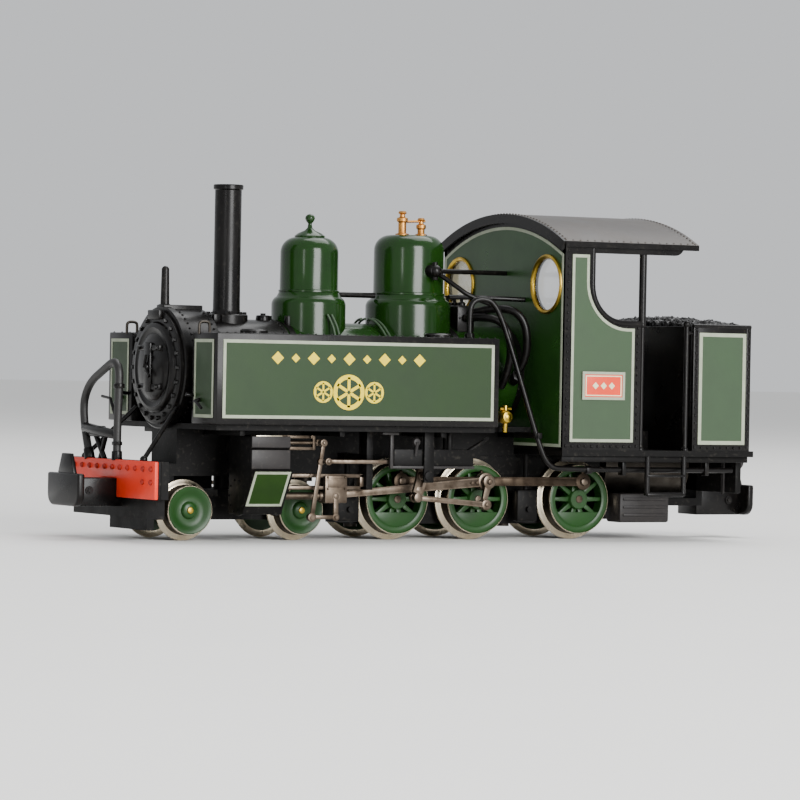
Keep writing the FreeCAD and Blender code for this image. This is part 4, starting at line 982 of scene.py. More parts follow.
@dataclass
class SideTank:
    """One side tank: a black tank with lined green panels on its side and front."""

    side: Side
    inside: float = 7.5
    edge: float = 0.7
    line: float = 0.34
    proud: float = 0.05

    def build(self) -> None:
        """Make the tank and everything on it."""
        box = box_of("side_tanks")
        floor = box_of("footplate").high.z
        sign = self.side.value
        low_x, high_x = box.low.x, box.high.x
        outer = box.high.y
        word = self.side.word
        low_z, high_z = floor, box.high.z
        tank = Workpiece(f"tank_{word}")
        ys = sorted((sign * self.inside, sign * (outer - 0.1)))
        tank.block((low_x, ys[0], low_z), (high_x - 0.1, ys[1], high_z), 0.14)
        for x in (low_x + 6.0, high_x - 6.0):
            tank.lathe([(0, 0), (1.5, 0), (1.5, 0.35), (1.3, 0.5), (0, 0.55)],
                       (x, sign * 10.3, high_z - 0.05), Axis.Z, 32)
        tank.rivets((low_x + 0.4, sign * (outer - 0.5), high_z),
                    (high_x - 0.5, sign * (outer - 0.5), high_z), 0.95, 0.12)
        tank.mount(SHOP.black, replaces=["side_tanks"])
        side_y = sign * (outer - 0.1)
        side = [(low_x, side_y, low_z), (high_x - 0.1, side_y, low_z),
                (high_x - 0.1, side_y, high_z), (low_x, side_y, high_z)]
        front_x = high_x - 0.1
        front = [(front_x, ys[0], low_z), (front_x, ys[1], low_z), (front_x, ys[1], high_z),
                 (front_x, ys[0], high_z)]
        for face, outline, push in (("side", side, (0, sign * self.proud, 0)),
                                    ("front", front, (self.proud, 0, 0))):
            green = Workpiece(f"tank_{word}_{face}_panel")
            green.panel(outline, self.edge, push)
            # The tank's green is the side green painted darker as shade.
            green.mount(SHOP.tank)
            lines = Workpiece(f"tank_{word}_{face}_lining")
            lines.border(outline, self.edge, self.line, [value * 1.7 for value in push])
            lines.mount(SHOP.white)
        self.ornament(box, side_y)
        self.bracket(box)

    def ornament(self, box: Box, side_y: float) -> None:
        """A row of lozenges over a wheel emblem, in yellow.

        Args:
            box: The tanks' box.
            side_y: Y of the tank's side.
        """
        sign = self.side.value
        push = (0, sign * self.proud * 1.8, 0)
        middle = box.centre.x + 1.4
        piece = Workpiece(f"tank_{self.side.word}_ornament")
        row_z, emblem_z = 19.75, 16.2
        for number in range(9):
            x = middle + (number - 4) * 2.15
            half = 0.72 if number % 2 == 0 else 0.5
            piece.slab([(x - half, side_y, row_z), (x, side_y, row_z - half * 0.95),
                        (x + half, side_y, row_z),
                        (x, side_y, row_z + half * 0.95)], push, 0.0)
        for offset, radius in ((-3.1, 1.15), (0.0, 1.9), (3.1, 1.15)):
            self.wheel_mark(piece, (middle + offset, side_y, emblem_z), radius, push)
        piece.mount(SHOP.yellow)

    @staticmethod
    def wheel_mark(piece: Workpiece, centre: Point, radius: float, push: Point) -> None:
        """A flat spoked ring.

        Args:
            piece: The ornament that it joins.
            centre: Its centre.
            radius: Its outer radius.
            push: The vector that it stands proud along.
        """
        x, y, z = centre
        ring = [(x + radius * math.cos(math.tau * n / 40), y, z + radius * math.sin(math.tau * n / 40))
                for n in range(40)]
        piece.border(ring, 0.0, radius * 0.26, push)
        for number in range(6):
            angle = math.tau * number / 6 + math.radians(30)
            out = Vector((math.cos(angle), 0, math.sin(angle)))
            across = Vector((-out.z, 0, out.x)) * radius * 0.09
            start, end = Vector(centre) + out * radius * 0.1, Vector(centre) + out * radius * 0.85
            piece.slab([start - across, end - across, end + across, start + across], push, 0.0)

    def bracket(self, box: Box) -> None:
        """Hand hold on the tank's front and a lifting loop on its top."""
        sign = self.side.value
        x = box.high.x - 0.05
        y = sign * 9.0
        piece = Workpiece(f"tank_{self.side.word}_bracket")
        piece.rod((x, y - sign * 0.9, 15.6), (x + 0.9, y - sign * 1.0, 15.7), 0.2, 0.2, 12, 0.03)
        piece.rod((x, y + sign * 0.6, 15.2), (x + 0.55, y + sign * 0.6, 15.0), 0.22, 0.22, 12, 0.03)
        piece.rod((x + 0.5, y + sign * 0.5, 15.05), (x + 0.5, y + sign * 2.0, 14.3), 0.2, 0.16, 12, 0.03)
        piece.mount(SHOP.black)
        top = box.high.z
        loop = [(x - 1.3, y, top - 0.2), (x - 1.35, y, top + 0.7), (x - 1.2, y, top + 1.15),
                (x - 0.2, y, top + 1.15),
                (x - 0.05, y, top + 0.7), (x - 0.1, y, top - 0.2)]
        bent_pipe(f"tank_{self.side.word}_loop", [loop], 0.16, SHOP.steel)


# ------------------------------------------------------------------ cab and bunker


@dataclass
class Cab:
    """Cab shell with lined panels, round windows, roof and plates."""

    wall: float = 0.6
    edge: float = 0.9
    line: float = 0.33
    bead: float = 0.35
    front_edge: float = 0.3
    front_drop: float = 0.95
    front_line: float = 0.34
    proud: float = 0.05
    cut_x: float = -14.7
    cut_z: float = 24.3
    cut_round: float = 4.2
    spring_z: float = 32.7
    window_radius: float = 3.0
    arch_steps: int = 28

    def build(self) -> None:
        """Make every part of the cab."""
        shell = box_of("cab_shell")
        self.shell_walls(shell)
        for side in Side:
            self.side_dress(shell, side)
        self.front_dress(shell)
        self.windows(shell)
        self.roof()
        self.plates(shell)
        self.inside(shell)

    def arch_outline(self, shell: Box, margin: float, drop: float, floor: float) -> list[tuple[float, float]]:
        """The front sheet's outline.

        Args:
            shell: The cab's box.
            margin: Distance that the upright edges stay inside the sheet's.
            drop: Distance that the arch stays inside the sheet's.
            floor: Height of its lower edge.

        Returns:
            Y and Z of its corners, in order.
        """
        half = shell.high.y
        rise = shell.high.z - self.spring_z
        radius = (half ** 2 + rise ** 2) / (2 * rise)
        centre = shell.high.z - radius
        reach = radius - drop
        edge = half - margin
        angle = math.degrees(math.asin(edge / reach))
        return [(-edge, floor), (edge, floor)] + arc((0, centre), reach, 90 - angle, 90 + angle,
                                                     self.arch_steps)

    def side_outline(self, shell: Box, grow: float = 0.0) -> list[tuple[float, float]]:
        """The side sheet's outline with its swept cut-out.

        Args:
            shell: The cab's box.
            grow: Distance that the outline reaches into the cut-out.

        Returns:
            X and Z of its corners, in order.
        """
        cut_x, cut_z = self.cut_x - grow, self.cut_z + grow
        centre = (cut_x - self.cut_round, cut_z + self.cut_round)
        corner = arc(centre, self.cut_round, 0, -90, 12)
        return ([(shell.low.x, shell.low.z), (shell.high.x, shell.low.z), (shell.high.x, self.spring_z),
                 (cut_x, self.spring_z)] + corner + [(shell.low.x, cut_z)])

    def shell_walls(self, shell: Box) -> None:
        """Front and side sheets, in black where no panel covers them."""
        piece = Workpiece("cab_sheets")
        back = shell.high.x - self.wall
        part = bmesh.new()
        face = flat_face(part, [(back, y, z) for y, z in self.arch_outline(shell, 0.0, 0.0, shell.low.z)],
                         0.0)
        thicken(part, face, (self.wall, 0, 0))
        piece.mesh.from_mesh(pierced(part, self.window_centres(back), self.window_radius))
        for side in Side:
            y = side.value * shell.high.y
            outline = [(x, y - side.value * 0.02, z) for x, z in self.side_outline(shell)]
            piece.slab(outline, (0, -side.value * (self.wall - 0.02), 0), 0.0)
        piece.mount(SHOP.black, replaces=["cab_shell"], smooth_below=25)

    def side_dress(self, shell: Box, side: Side) -> None:
        """Green panel, white line, cut-out beading and rivets on one side.

        Args:
            shell: The cab's box.
            side: Which side.
        """
        sign = side.value
        y = sign * (shell.high.y - 0.02)
        outline = [(x, y, z) for x, z in self.side_outline(shell, self.bead)]
        push = (0, sign * self.proud, 0)
        green = Workpiece(f"cab_{side.word}_panel")
        green.panel(outline, self.edge, push)
        # The cab side's green is the side green painted lighter as reflection.
        green.mount(SHOP.panel)
        lines = Workpiece(f"cab_{side.word}_lining")
        lines.border(outline, self.edge, self.line, [value * 1.7 for value in push])
        lines.mount(SHOP.white)
        beads = Workpiece(f"cab_{side.word}_beading")
        curve = [(self.cut_x, 32.5)] + arc((self.cut_x - self.cut_round, self.cut_z + self.cut_round),
                                           self.cut_round, 0, -90, 12) + [(shell.low.x, self.cut_z)]
        for (x_a, z_a), (x_b, z_b) in zip(curve, curve[1:]):
            beads.rod((x_a, y - sign * 0.2, z_a), (x_b, y - sign * 0.2, z_b), 0.34, sides=10)
        rivet_y = sign * (shell.high.y - 0.02)
        inset = 0.42
        beads.rivets((shell.high.x - inset, rivet_y, shell.low.z + 0.5),
                     (shell.high.x - inset, rivet_y, 32.2), 0.85, 0.17)
        beads.rivets((shell.low.x + inset, rivet_y, shell.low.z + 0.5),
                     (shell.low.x + inset, rivet_y, 23.8), 0.85, 0.17)
        beads.rivets((shell.low.x + inset, rivet_y, shell.low.z + inset),
                     (shell.high.x - inset, rivet_y, shell.low.z + inset),
                     0.85, 0.17)
        beads.mount(SHOP.black)

    def front_dress(self, shell: Box) -> None:
        """Green front with a white line that follows the arch."""
        x = shell.high.x
        outline = self.arch_outline(shell, self.front_edge, self.front_drop, shell.low.z + self.front_edge)
        corners = [(x, y, z) for y, z in outline]
        lines = Workpiece("cab_front_lining")
        lines.border(corners, 0.0, self.front_line, (self.proud * 1.7, 0, 0))
        lines.mount(SHOP.white)
        green = Workpiece("cab_front_panel")
        part = bmesh.new()
        thicken(part, flat_face(part, corners, 0.0), (self.proud, 0, 0))
        green.mesh.from_mesh(pierced(part, self.window_centres(x), self.window_radius))
        green.mount(SHOP.front)

    def window_centres(self, x: float) -> list[Point]:
        """Centres of the two round windows at one distance along the engine."""
        glass = box_of("cab_glazing")
        reach = glass.high.y - self.window_radius
        return [(x, reach, glass.centre.z), (x, -reach, glass.centre.z)]

    def windows(self, shell: Box) -> None:
        """Brass spectacle rings."""
        rings = Workpiece("window_rings")
        profile = [(2.85, -0.1), (3.28, -0.1), (3.34, 0.08), (3.3, 0.24), (3.14, 0.34), (2.94, 0.26),
                   (2.85, 0.1)]
        for place in self.window_centres(shell.high.x):
            rings.lathe(profile, place, Axis.X, 64)
        rings.mount(SHOP.brass, replaces=["brass_fittings"])
        lining = Workpiece("cab_ceiling_lining")
        back = shell.high.x - self.wall
        for side in Side:
            y = side.value * (shell.high.y - self.wall)
            outline = [(back, y, 24.5), (back, y, 32.7), (self.cut_x, y, 32.7), (self.cut_x, y, 24.5)]
            lining.slab(outline, (0, -side.value * 0.06, 0), 0.0)
        lining.mount(SHOP.cream)

    def roof(self) -> None:
        """Arched roof sheet with rivet rows, rain strips and a valance each side."""
        box = box_of("cab_roof")
        half, rise = box.high.y, 3.3
        thick = 0.6
        crown = box.high.z
        radius = (half ** 2 + rise ** 2) / (2 * rise)
        centre = crown - radius
        angle = math.degrees(math.asin(half / radius))
        over = arc((0, centre), radius, 90 - angle, 90 + angle, 40)
        under = arc((0, centre), radius - thick, 90 + angle, 90 - angle, 40)
        lip = 0.3
        piece = Workpiece("roof_sheet")
        piece.slab([(box.low.x, y, z) for y, z in over + under], (box.high.x - lip - box.low.x, 0, 0), 0.0)
        for x in (box.high.x - 0.5, box.low.x + 0.5):
            for number in range(43):
                turn = math.radians(90 - angle + 1.2 + (2 * angle - 2.4) * number / 42)
                piece.stud((x, radius * math.cos(turn), centre + radius * math.sin(turn)), 0.13)
        for sign in (1, -1):
            edge_y = sign * (half - 0.3)
            piece.rivets((box.low.x + 0.4, edge_y, crown - rise + 0.1),
                         (box.high.x - 0.4, edge_y, crown - rise + 0.1),
                         0.95, 0.13)
        # The roof sheet's lighter paint is partly a painted highlight, with dust.
        piece.mount(SHOP.roof, replaces=["cab_roof"], smooth_below=30)
        valance = Workpiece("roof_valance")
        band = over + arc((0, centre), radius - thick - 0.45, 90 + angle, 90 - angle, 40)
        valance.slab([(box.high.x - lip, y, z) for y, z in band], (lip, 0, 0), 0.0)
        eaves = crown - rise
        for sign in (1, -1):
            ys = sorted((sign * (half - 0.3), sign * half))
            valance.block((box.low.x, ys[0], eaves - thick), (box.high.x - lip, ys[1], eaves + 0.02), 0.0)
        for sign in (1, -1):
            y = sign * (half - 0.45)
            end = box.low.x + 1.6
            sweep = arc((end + 1.25, 33.2), 1.2, 180, 270, 8)
            outline = [(x, y, z) for x, z in [(-11.05, 33.2)] + sweep + [(-11.05, 32.0)]]
            valance.slab(outline, (0, -sign * 0.45, 0), 0.0)
        valance.mount(SHOP.black)

    def plates(self, shell: Box) -> None:
        """Red plate with a pale raised border on each side."""
        box = box_of("name_plates")
        for side in Side:
            y = side.value * shell.high.y
            outline = [(box.low.x, y, box.low.z), (box.high.x, y, box.low.z), (box.high.x, y, box.high.z),
                       (box.low.x, y, box.high.z)]
            red = Workpiece(f"plate_{side.word}")
            red.slab(outline, (0, side.value * 0.16, 0), 0.04)
            mark = Workpiece(f"plate_{side.word}_lozenges")
            for column in range(3):
                x, half, z = box.centre.x + (column - 1) * 1.05, 0.4, box.centre.z
                mark.slab([(x - half, y, z), (x, y, z - half), (x + half, y, z), (x, y, z + half)],
                          (0, side.value * 0.22, 0), 0.0)
            inner = [(box.low.x + 0.42, y, box.low.z + 0.42), (box.high.x - 0.42, y, box.low.z + 0.42),
                     (box.high.x - 0.42, y, box.high.z - 0.42), (box.low.x + 0.42, y, box.high.z - 0.42)]
            mark.border(inner, 0.0, 0.12, (0, side.value * 0.2, 0))
            mark.mount(SHOP.cream)
            red.mount(SHOP.plate, replaces=["name_plates"])
            rim = Workpiece(f"plate_{side.word}_rim")
            rim.border(outline, 0.0, 0.3, (0, side.value * 0.24, 0))
            rim.mount(SHOP.white)

    def inside(self, shell: Box) -> None:
        """Backhead fittings that show through the cut-outs."""
        x = shell.high.x - self.wall - 3.4
        piece = Workpiece("backhead_fittings")
        for y, z, radius in ((-2.8, 21.6, 0.75), (2.8, 21.6, 0.75), (0.0, 22.2, 0.6)):
            piece.lathe([(0, 0), (radius, 0), (radius, -0.35), (radius - 0.15, -0.45), (0, -0.42)],
                        (x, y, z), Axis.X, 24)
        for y in (-1.5, 1.5):
            piece.rod((x - 0.3, y, 18.8), (x - 0.3, y, 20.6), 0.16, sides=12)
        piece.rod((x - 0.6, 3.3, 14.2), (x - 0.6, 3.3, 19.2), 0.18, sides=12)
        piece.mount(SHOP.brass)


@dataclass
class Bunker:
    """Coal bunker with lined sides, and its coal."""

    edge: float = 0.72
    line: float = 0.42
    proud: float = 0.05
    wall: float = 0.6
    seed: int = 11
    lumps: int = 520
    lump_sizes: tuple[float, float] = (0.28, 0.62)
    lump_jitter: tuple[float, float] = (0.72, 1.15)
    lump_sink: float = 0.9
    margin: float = 0.5
    heap_z: float = 24.0
    crown_z: float = 24.1
    crown_rise: float = 0.9
    crown_x: float = 3.4
    crown_y: float = 13.5

    def build(self) -> None:
        """Make the bunker and its load."""
        box = box_of("bunker")
        low, high = box.low, box.high
        tub = Workpiece("bunker_tub")
        tub.block((low.x, low.y, low.z), (low.x + self.wall, high.y, high.z), 0.06)
        tub.block((high.x - self.wall, low.y, low.z), (high.x, high.y, high.z), 0.06)
        for side in Side:
            ys = sorted((side.value * high.y - side.value * 0.02, side.value * (high.y - self.wall)))
            tub.block((low.x, ys[0], low.z), (high.x, ys[1], high.z), 0.04)
            y = side.value * (high.y - 0.02)
            for x in (low.x + 0.34, high.x - 0.34):
                tub.rivets((x, y, low.z + 0.5), (x, y, high.z - 0.4), 0.85, 0.17)
            tub.rivets((low.x + 0.34, y, low.z + 0.34), (high.x - 0.34, y, low.z + 0.34), 0.85, 0.17)
            tub.rod((low.x, side.value * (high.y - 0.2), high.z),
                    (high.x, side.value * (high.y - 0.2), high.z), 0.26, sides=12)
        for y in (-9, 0, 9):
            tub.rivets((low.x, y, low.z + 0.5), (low.x, y, high.z - 0.5), 0.85, 0.17)
        tub.mount(SHOP.black, replaces=["bunker"])
        for side in Side:
            y = side.value * (high.y - 0.02)
            outline = [(low.x, y, low.z), (high.x, y, low.z), (high.x, y, high.z), (low.x, y, high.z)]
            push = (0, side.value * self.proud, 0)
            green = Workpiece(f"bunker_{side.word}_panel")
            green.panel(outline, self.edge, push)
            # The bunker side's green is the side green painted lighter as reflection.
            green.mount(SHOP.panel)
            lines = Workpiece(f"bunker_{side.word}_lining")
            lines.border(outline, self.edge, self.line, [value * 1.7 for value in push])
            lines.mount(SHOP.white)
        self.coal()

    def coal(self) -> None:
        """A heap of broken lumps."""
        box = box_of("coal_load")
        dice = random.Random(self.seed)
        heap = Workpiece("coal_heap")
        heap.block((box.low.x, box.low.y, box.low.z), (box.high.x, box.high.y, self.heap_z), 0.2)
        for _ in range(self.lumps):
            x = dice.uniform(box.low.x + self.margin, box.high.x - self.margin)
            y = dice.uniform(box.low.y + self.margin, box.high.y - self.margin)
            crown = self.crown_z + self.crown_rise * (1 - ((x - box.centre.x) / self.crown_x) ** 2) * (
                1 - (y / self.crown_y) ** 2)
            size = dice.uniform(*self.lump_sizes)
            part = bmesh.new()
            bmesh.ops.create_icosphere(part, subdivisions=1, radius=size)
            for vert in part.verts:
                vert.co *= dice.uniform(*self.lump_jitter)
            turn = Matrix.Rotation(dice.uniform(0, math.tau), 4,
                                   Vector((dice.random(), dice.random(), 1)).normalized())
            place = Matrix.Translation((x, y, min(crown, box.high.z - size * self.lump_sink)))
            bmesh.ops.transform(part, matrix=place @ turn, verts=part.verts)
            heap.take(part)
        heap.mount(SHOP.coal, replaces=["coal_load"], smooth_below=1)


# ------------------------------------------------------------------ cylinders and motion


@dataclass
class Motion:
    """Cylinders, slide bars, rods and valve gear on both sides."""

    joints: dict[str, Vector] = field(default_factory=dict)

    def build(self) -> None:
        """Make every part of the motion."""
        for side in Side:
            self.cylinder(side)
            self.bars(side)
            self.coupling_rod(side)
            self.main_rod(side)
            self.crosshead(side)
            self.return_crank(side)
            self.eccentric_rod(side)
            self.link(side)
            self.lever(side)
            self.radius_rod(side)

    def pin(self, name: str) -> Vector:
        """Place of a joint's pin in millimetres."""
        return self.joints[name]

    def cylinder(self, side: Side) -> None:
        """Cylinder casting: chest, cover bands and the lined clothing panel."""
        box = box_of("cylinders")
        sign = side.value
        back, front = box.low.x, box.high.x - 0.2
        inside, outside, chest = 6.7, box.high.y, 12.0
        foot_y, foot_z, low_z = 10.4, 3.5, box.low.z
        split, top = 7.9, box.high.z
        casting = Workpiece(f"cylinder_{side.word}")
        outline = [(inside, low_z), (foot_y - 0.2, low_z), (foot_y - 0.1, foot_z),
                   (outside - 0.1, split - 0.2),
                   (chest, split), (chest, 8.55), (chest - 0.25, 8.62), (chest - 0.25, 10.05), (chest, 10.12),
                   (chest, top), (inside, top)]
        casting.slab([(back, sign * y, z) for y, z in outline], (front - back, 0, 0), 0.1)
        for x in (back + 0.02, front - 0.35):
            casting.lathe([(0, 0), (2.05, 0), (2.15, 0.06), (2.15, 0.3), (2.05, 0.36), (0, 0.36)],
                          (x - 0.02, sign * 8.7, 4.95), Axis.X, 40)
        for x in (front, back):
            for number in range(10):
                angle = math.tau * number / 10
                casting.stud((x, sign * 8.7 + 1.75 * math.cos(angle), 4.95 + 1.75 * math.sin(angle)), 0.13)
        casting.block((back + 0.8, min(sign * 4.4, sign * inside), 8.5),
                      (front - 0.8, max(sign * 4.4, sign * inside), top), 0.08)
        casting.mount(SHOP.dull, replaces=["cylinders"])
        cover = Workpiece(f"chest_{side.word}_covers")
        for low, high in ((split + 0.02, 9.95), (10.2, top - 0.02)):
            ys = sorted((sign * (chest - 0.3), sign * (chest + 0.04)))
            cover.block((back + 0.05, ys[0], low), (front - 0.05, ys[1], high), 0.06)
        cover.mount(SHOP.chest)
        lean = Vector((0, outside - foot_y, split - 0.2 - foot_z)).normalized()
        out = Vector((0, sign * lean.z, -lean.y))
        foot = Vector((0, sign * (foot_y - 0.1), foot_z))
        head = Vector((0, sign * (outside - 0.1), split - 0.2))
        foot += (head - foot) * 0.1
        along = [Vector((place, 0, 0)) for place in (back + 0.3, front - 0.05)]
        corners = [foot + along[0], foot + along[1], head + along[1], head + along[0]]
        # A bright nickel strip along the chest's top edge: a painted highlight.
        chest_top_highlight = Workpiece(f"chest_{side.word}_strip")
        ys = sorted((sign * (chest - 1.4), sign * (chest - 0.05)))
        chest_top_highlight.block((back + 1.0, ys[0], top - 0.05), (front - 0.6, ys[1], top + 0.1), 0.05)
        chest_top_highlight.mount(SHOP.tyre)
        green = Workpiece(f"cylinder_{side.word}_panel")
        green.panel(corners, 0.12, out * 0.05)
        green.mount(SHOP.cylinder)
        lines = Workpiece(f"cylinder_{side.word}_lining")
        lines.border(corners, 0.05, 0.27, out * 0.09)
        lines.mount(SHOP.white)

    def bars(self, side: Side) -> None:
        """Slide bars, motion bracket, valve guide and the link's hanger."""
        sign = side.value
        inner, outer = 8.0, 9.3
        back, front = 11.4, box_of("cylinders").low.x
        link_x = self.pin(f"expansion_link_{side.word}_rock").x
        piece = Workpiece(f"slide_bars_{side.word}")

        def bar(x0: float, x1: float, y0: float, y1: float, z0: float, z1: float,
                bevel: float = 0.06) -> None:
            """A bar on this side."""
            ys = sorted((sign * y0, sign * y1))
            piece.block((x0, ys[0], z0), (x1, ys[1], z1), bevel)

        bar(back, front, inner, outer, 5.65, 6.05)
        bar(back, front, inner, outer, 6.95, 7.35)
        bar(back, back + 0.5, inner, outer, 5.65, 7.35)
        bar(17.7, front, 8.9, 9.4, 11.15, 11.5)
        bar(17.7, front, 8.9, 9.4, 9.9, 10.25)
        bar(17.45, 17.8, 8.9, 9.4, 9.9, 11.5)
        for x in (18.0, 20.9):
            piece.rod((x, sign * 9.4, 11.32), (x, sign * 9.62, 11.32), 0.2, 0.2, 6)
            piece.rod((x, sign * 9.3, 7.15), (x, sign * 9.42, 7.15), 0.18, 0.18, 6)
        piece.mount(SHOP.motion, replaces=["slide_bars"])
        piece = Workpiece(f"motion_brackets_{side.word}")
        bar(10.6, 11.4, inner, outer + 0.5, 5.65, 12.0)
        bar(10.6, 11.4, 3.1, outer + 0.5, 8.7, 9.5)
        bar(3.9, 5.1, 10.95, 11.35, 6.5, 12.0)
        bar(-1.3, 8.6, 9.6, 10.9, 8.2, 10.1)
        piece.rod((link_x, sign * 10.95, 7.2), (link_x, sign * 11.5, 7.2), 0.62, 0.55, 20, 0.06)
        piece.rod((1.6, sign * 10.6, 9.9), (1.6, sign * 10.6, 11.9), 0.34, 0.3, 16, 0.05)
        piece.rod((-0.8, sign * 10.6, 9.9), (-3.4, sign * 10.4, 11.4), 0.3, 0.2, 12, 0.05)
        piece.mount(SHOP.dull)
        piece = Workpiece(f"reversing_bracket_{side.word}")
        bar(-1.3, 9.3, 10.9, 11.2, 8.0, 8.3)
        bar(8.9, 9.3, 10.9, 11.3, 8.0, 11.7)
        bar(8.3, 10.3, 10.4, 11.4, 11.65, 11.95)
        piece.rod((6.0, sign * 10.9, 10.9), (6.0, sign * 11.3, 10.9), 0.5, 0.4, 20, 0.06)
        piece.rod((6.0, sign * 10.9, 9.4), (6.0, sign * 11.3, 10.9), 0.2, sides=12)
        piece.mount(SHOP.chest)

    def strap(self, piece: Workpiece, ends: Sequence[tuple[float, float]], radii: Sequence[float],
              inner: float, outer: float, side: Side, flute: bool = True) -> None:
        """A flat rod: a waisted bar with rounded ends and a milled flute.

        Args:
            piece: The piece that it joins.
            ends: X and Z of the two eyes.
            radii: Radius of each eye.
            inner: Nearer face's distance from the engine's middle.
            outer: Outer face's distance.
            side: Which side.
            flute: Whether the bar is fluted.
        """
        sign = side.value
        start = Vector((ends[0][0], 0, ends[0][1]))
        end = Vector((ends[1][0], 0, ends[1][1]))
        along = (end - start).normalized()
        up = Vector((-along.z, 0, along.x))
        neck = [radius * 0.52 for radius in radii]
        face = [start + up * neck[0] + along * radii[0] * 0.7, start - up * neck[0] + along * radii[0] * 0.7,
                end - up * neck[1] - along * radii[1] * 0.7, end + up * neck[1] - along * radii[1] * 0.7]
        y_in, y_out = sign * (inner + 0.04), sign * (outer - 0.04)
        piece.slab([(corner.x, y_in, corner.z) for corner in face], (0, y_out - y_in, 0), 0.05)
        if flute:
            piece.border([(corner.x, y_out, corner.z) for corner in face], 0.02, 0.14, (0, sign * 0.035, 0))
        for centre, radius in ((start, radii[0]), (end, radii[1])):
            piece.rod((centre.x, sign * inner, centre.z), (centre.x, sign * outer, centre.z), radius,
                      radius, 32, 0.06)

    def nut(self, piece: Workpiece, centre: Sequence[float], face: float, height: float, side: Side,
            radius: float = 0.36) -> None:
        """A hexagon nut and washer on a pin's outer end."""
        sign = side.value
        x, z = centre
        piece.rod((x, sign * face, z), (x, sign * (face + 0.06), z), radius * 1.35, radius * 1.35, 20)
        piece.rod((x, sign * (face + 0.06), z), (x, sign * (face + height), z), radius, radius * 0.95, 6,
                  0.03)

    def coupling_rod(self, side: Side) -> None:
        """Rod that joins the three crank pins."""
        name = f"coupling_rod_{side.word}"
        pin = self.pin(name + "_turn")
        middle = self.pin("driver_middle_spin")
        offset = (pin.x - middle.x, pin.z)
        pins = [(self.pin(f"driver_{axle}_spin").x + offset[0], offset[1])
                for axle in ("rear", "middle", "front")]
        piece = Workpiece(name + "_forging")
        for first, second in zip(pins, pins[1:]):
            self.strap(piece, (first, second), (0.95, 0.95), 6.2, 6.8, side)
        for place in pins:
            piece.ball((place[0], side.value * 6.5, place[1] + 1.0), 0.26)
        piece.mount(SHOP.rod, name, [name])

    def main_rod(self, side: Side) -> None:
        """Rod from the crosshead to the middle crank pin."""
        name = f"main_rod_{side.word}"
        box = box_of(name)
        pin = self.pin(name + "_turn")
        small = (box.high.x - 0.7, 4.95)
        piece = Workpiece(name + "_forging")
        self.strap(piece, ((pin.x, pin.z), small), (1.0, 0.7), 7.1, 7.7, side)
        sign = side.value
        along = Vector((small[0] - pin.x, 0, small[1] - pin.z)).normalized()
        for step in (1.25, 1.85):
            spot = Vector((pin.x, 0, pin.z)) + along * step
            piece.rod((spot.x, sign * 7.66, spot.z), (spot.x, sign * 7.82, spot.z), 0.17, 0.15, 6)
        piece.rod((small[0], sign * 7.68, small[1]), (small[0], sign * 7.84, small[1]), 0.34, 0.3, 20, 0.04)
        piece.mount(SHOP.motion, name, [name])

    def crosshead(self, side: Side) -> None:
        """Crosshead with slippers, piston rod, drop arm and union link."""
        name = f"crosshead_{side.word}"
        box = box_of(name)
        sign = side.value
        half = 1.35
        x = box.low.x + half
        line = 4.95

        def put(x0: float, x1: float, y0: float, y1: float, z0: float, z1: float,
                bevel: float = 0.08) -> None:
            """A block on this side."""
            ys = sorted((sign * y0, sign * y1))
            piece.block((x0, ys[0], z0), (x1, ys[1], z1), bevel)

        piece = Workpiece(name + "_body")
        put(x - half, x + half, 8.05, 9.35, 6.12, 6.88)
        put(x - half, x + half, 8.05, 9.35, 4.2, 5.58, 0.12)
        put(x - half, x + half, 9.35, 9.7, 4.2, 7.2, 0.12)
        put(x - half + 0.3, x + half - 0.3, 9.66, 9.75, 5.9, 6.9, 0.04)
        for place in (x - half + 0.3, x + half - 0.3):
            piece.stud((place, sign * 9.7, 7.0), 0.13)
            piece.stud((place, sign * 9.7, 5.75), 0.13)
        self.nut(piece, (x, line), 9.68, 0.12, side, 0.34)
        piece.rod((x + 0.9, sign * 8.7, line), (x + 9.2, sign * 8.7, line), 0.4, sides=24)
        piece.rod((x + 0.9, sign * 8.7, line), (x + 1.7, sign * 8.7, line), 0.62, 0.55, 24, 0.06)
        put(x - 0.3, x + 0.3, 9.45, 9.75, 2.5, line + 0.1, 0.07)
        put(x, x + 3.1, 9.45, 9.75, 2.48, 2.92, 0.07)
        for place in (x, x + 3.1):
            piece.rod((place, sign * 9.44, 2.7), (place, sign * 9.76, 2.7), 0.42, 0.42, 24, 0.05)
        piece.rod((x + 3.1, sign * 9.5, 2.7), (x + 3.1, sign * 10.22, 2.7), 0.25, sides=20)
        piece.rod((x, sign * 9.7, 2.7), (x, sign * 9.92, 2.7), 0.22, 0.2, 6)
        piece.mount(SHOP.motion, name, [name])

    def return_crank(self, side: Side) -> None:
        """Return crank on the middle crank pin, with its pin."""
        main = self.pin(f"main_rod_{side.word}_turn")
        pin = self.pin(f"eccentric_rod_{side.word}_turn")
        piece = Workpiece(f"return_crank_{side.word}")
        self.strap(piece, ((main.x, main.z), (pin.x, pin.z)), (0.75, 0.55), 7.9, 8.4, side, False)
        self.nut(piece, (main.x, main.z), 8.38, 0.3, side, 0.34)
        piece.rod((pin.x, side.value * 8.3, pin.z), (pin.x, side.value * 9.1, pin.z), 0.3, sides=20)
        piece.mount(SHOP.motion, "driver_axle_middle", ["return_cranks"])

    def eccentric_rod(self, side: Side) -> None:
        """Rod from the return crank to the link's foot."""
        name = f"eccentric_rod_{side.word}"
        box = box_of(name)
        pin = self.pin(name + "_turn")
        foot = (box.high.x - 0.6, self.link_foot(side).z)
        piece = Workpiece(name + "_forging")
        self.strap(piece, ((pin.x, pin.z), foot), (0.6, 0.55), 8.55, 9.05, side)
        self.nut(piece, (pin.x, pin.z), 9.02, 0.22, side, 0.26)
        self.nut(piece, foot, 9.02, 0.2, side, 0.24)
        piece.mount(SHOP.motion, name, [name])

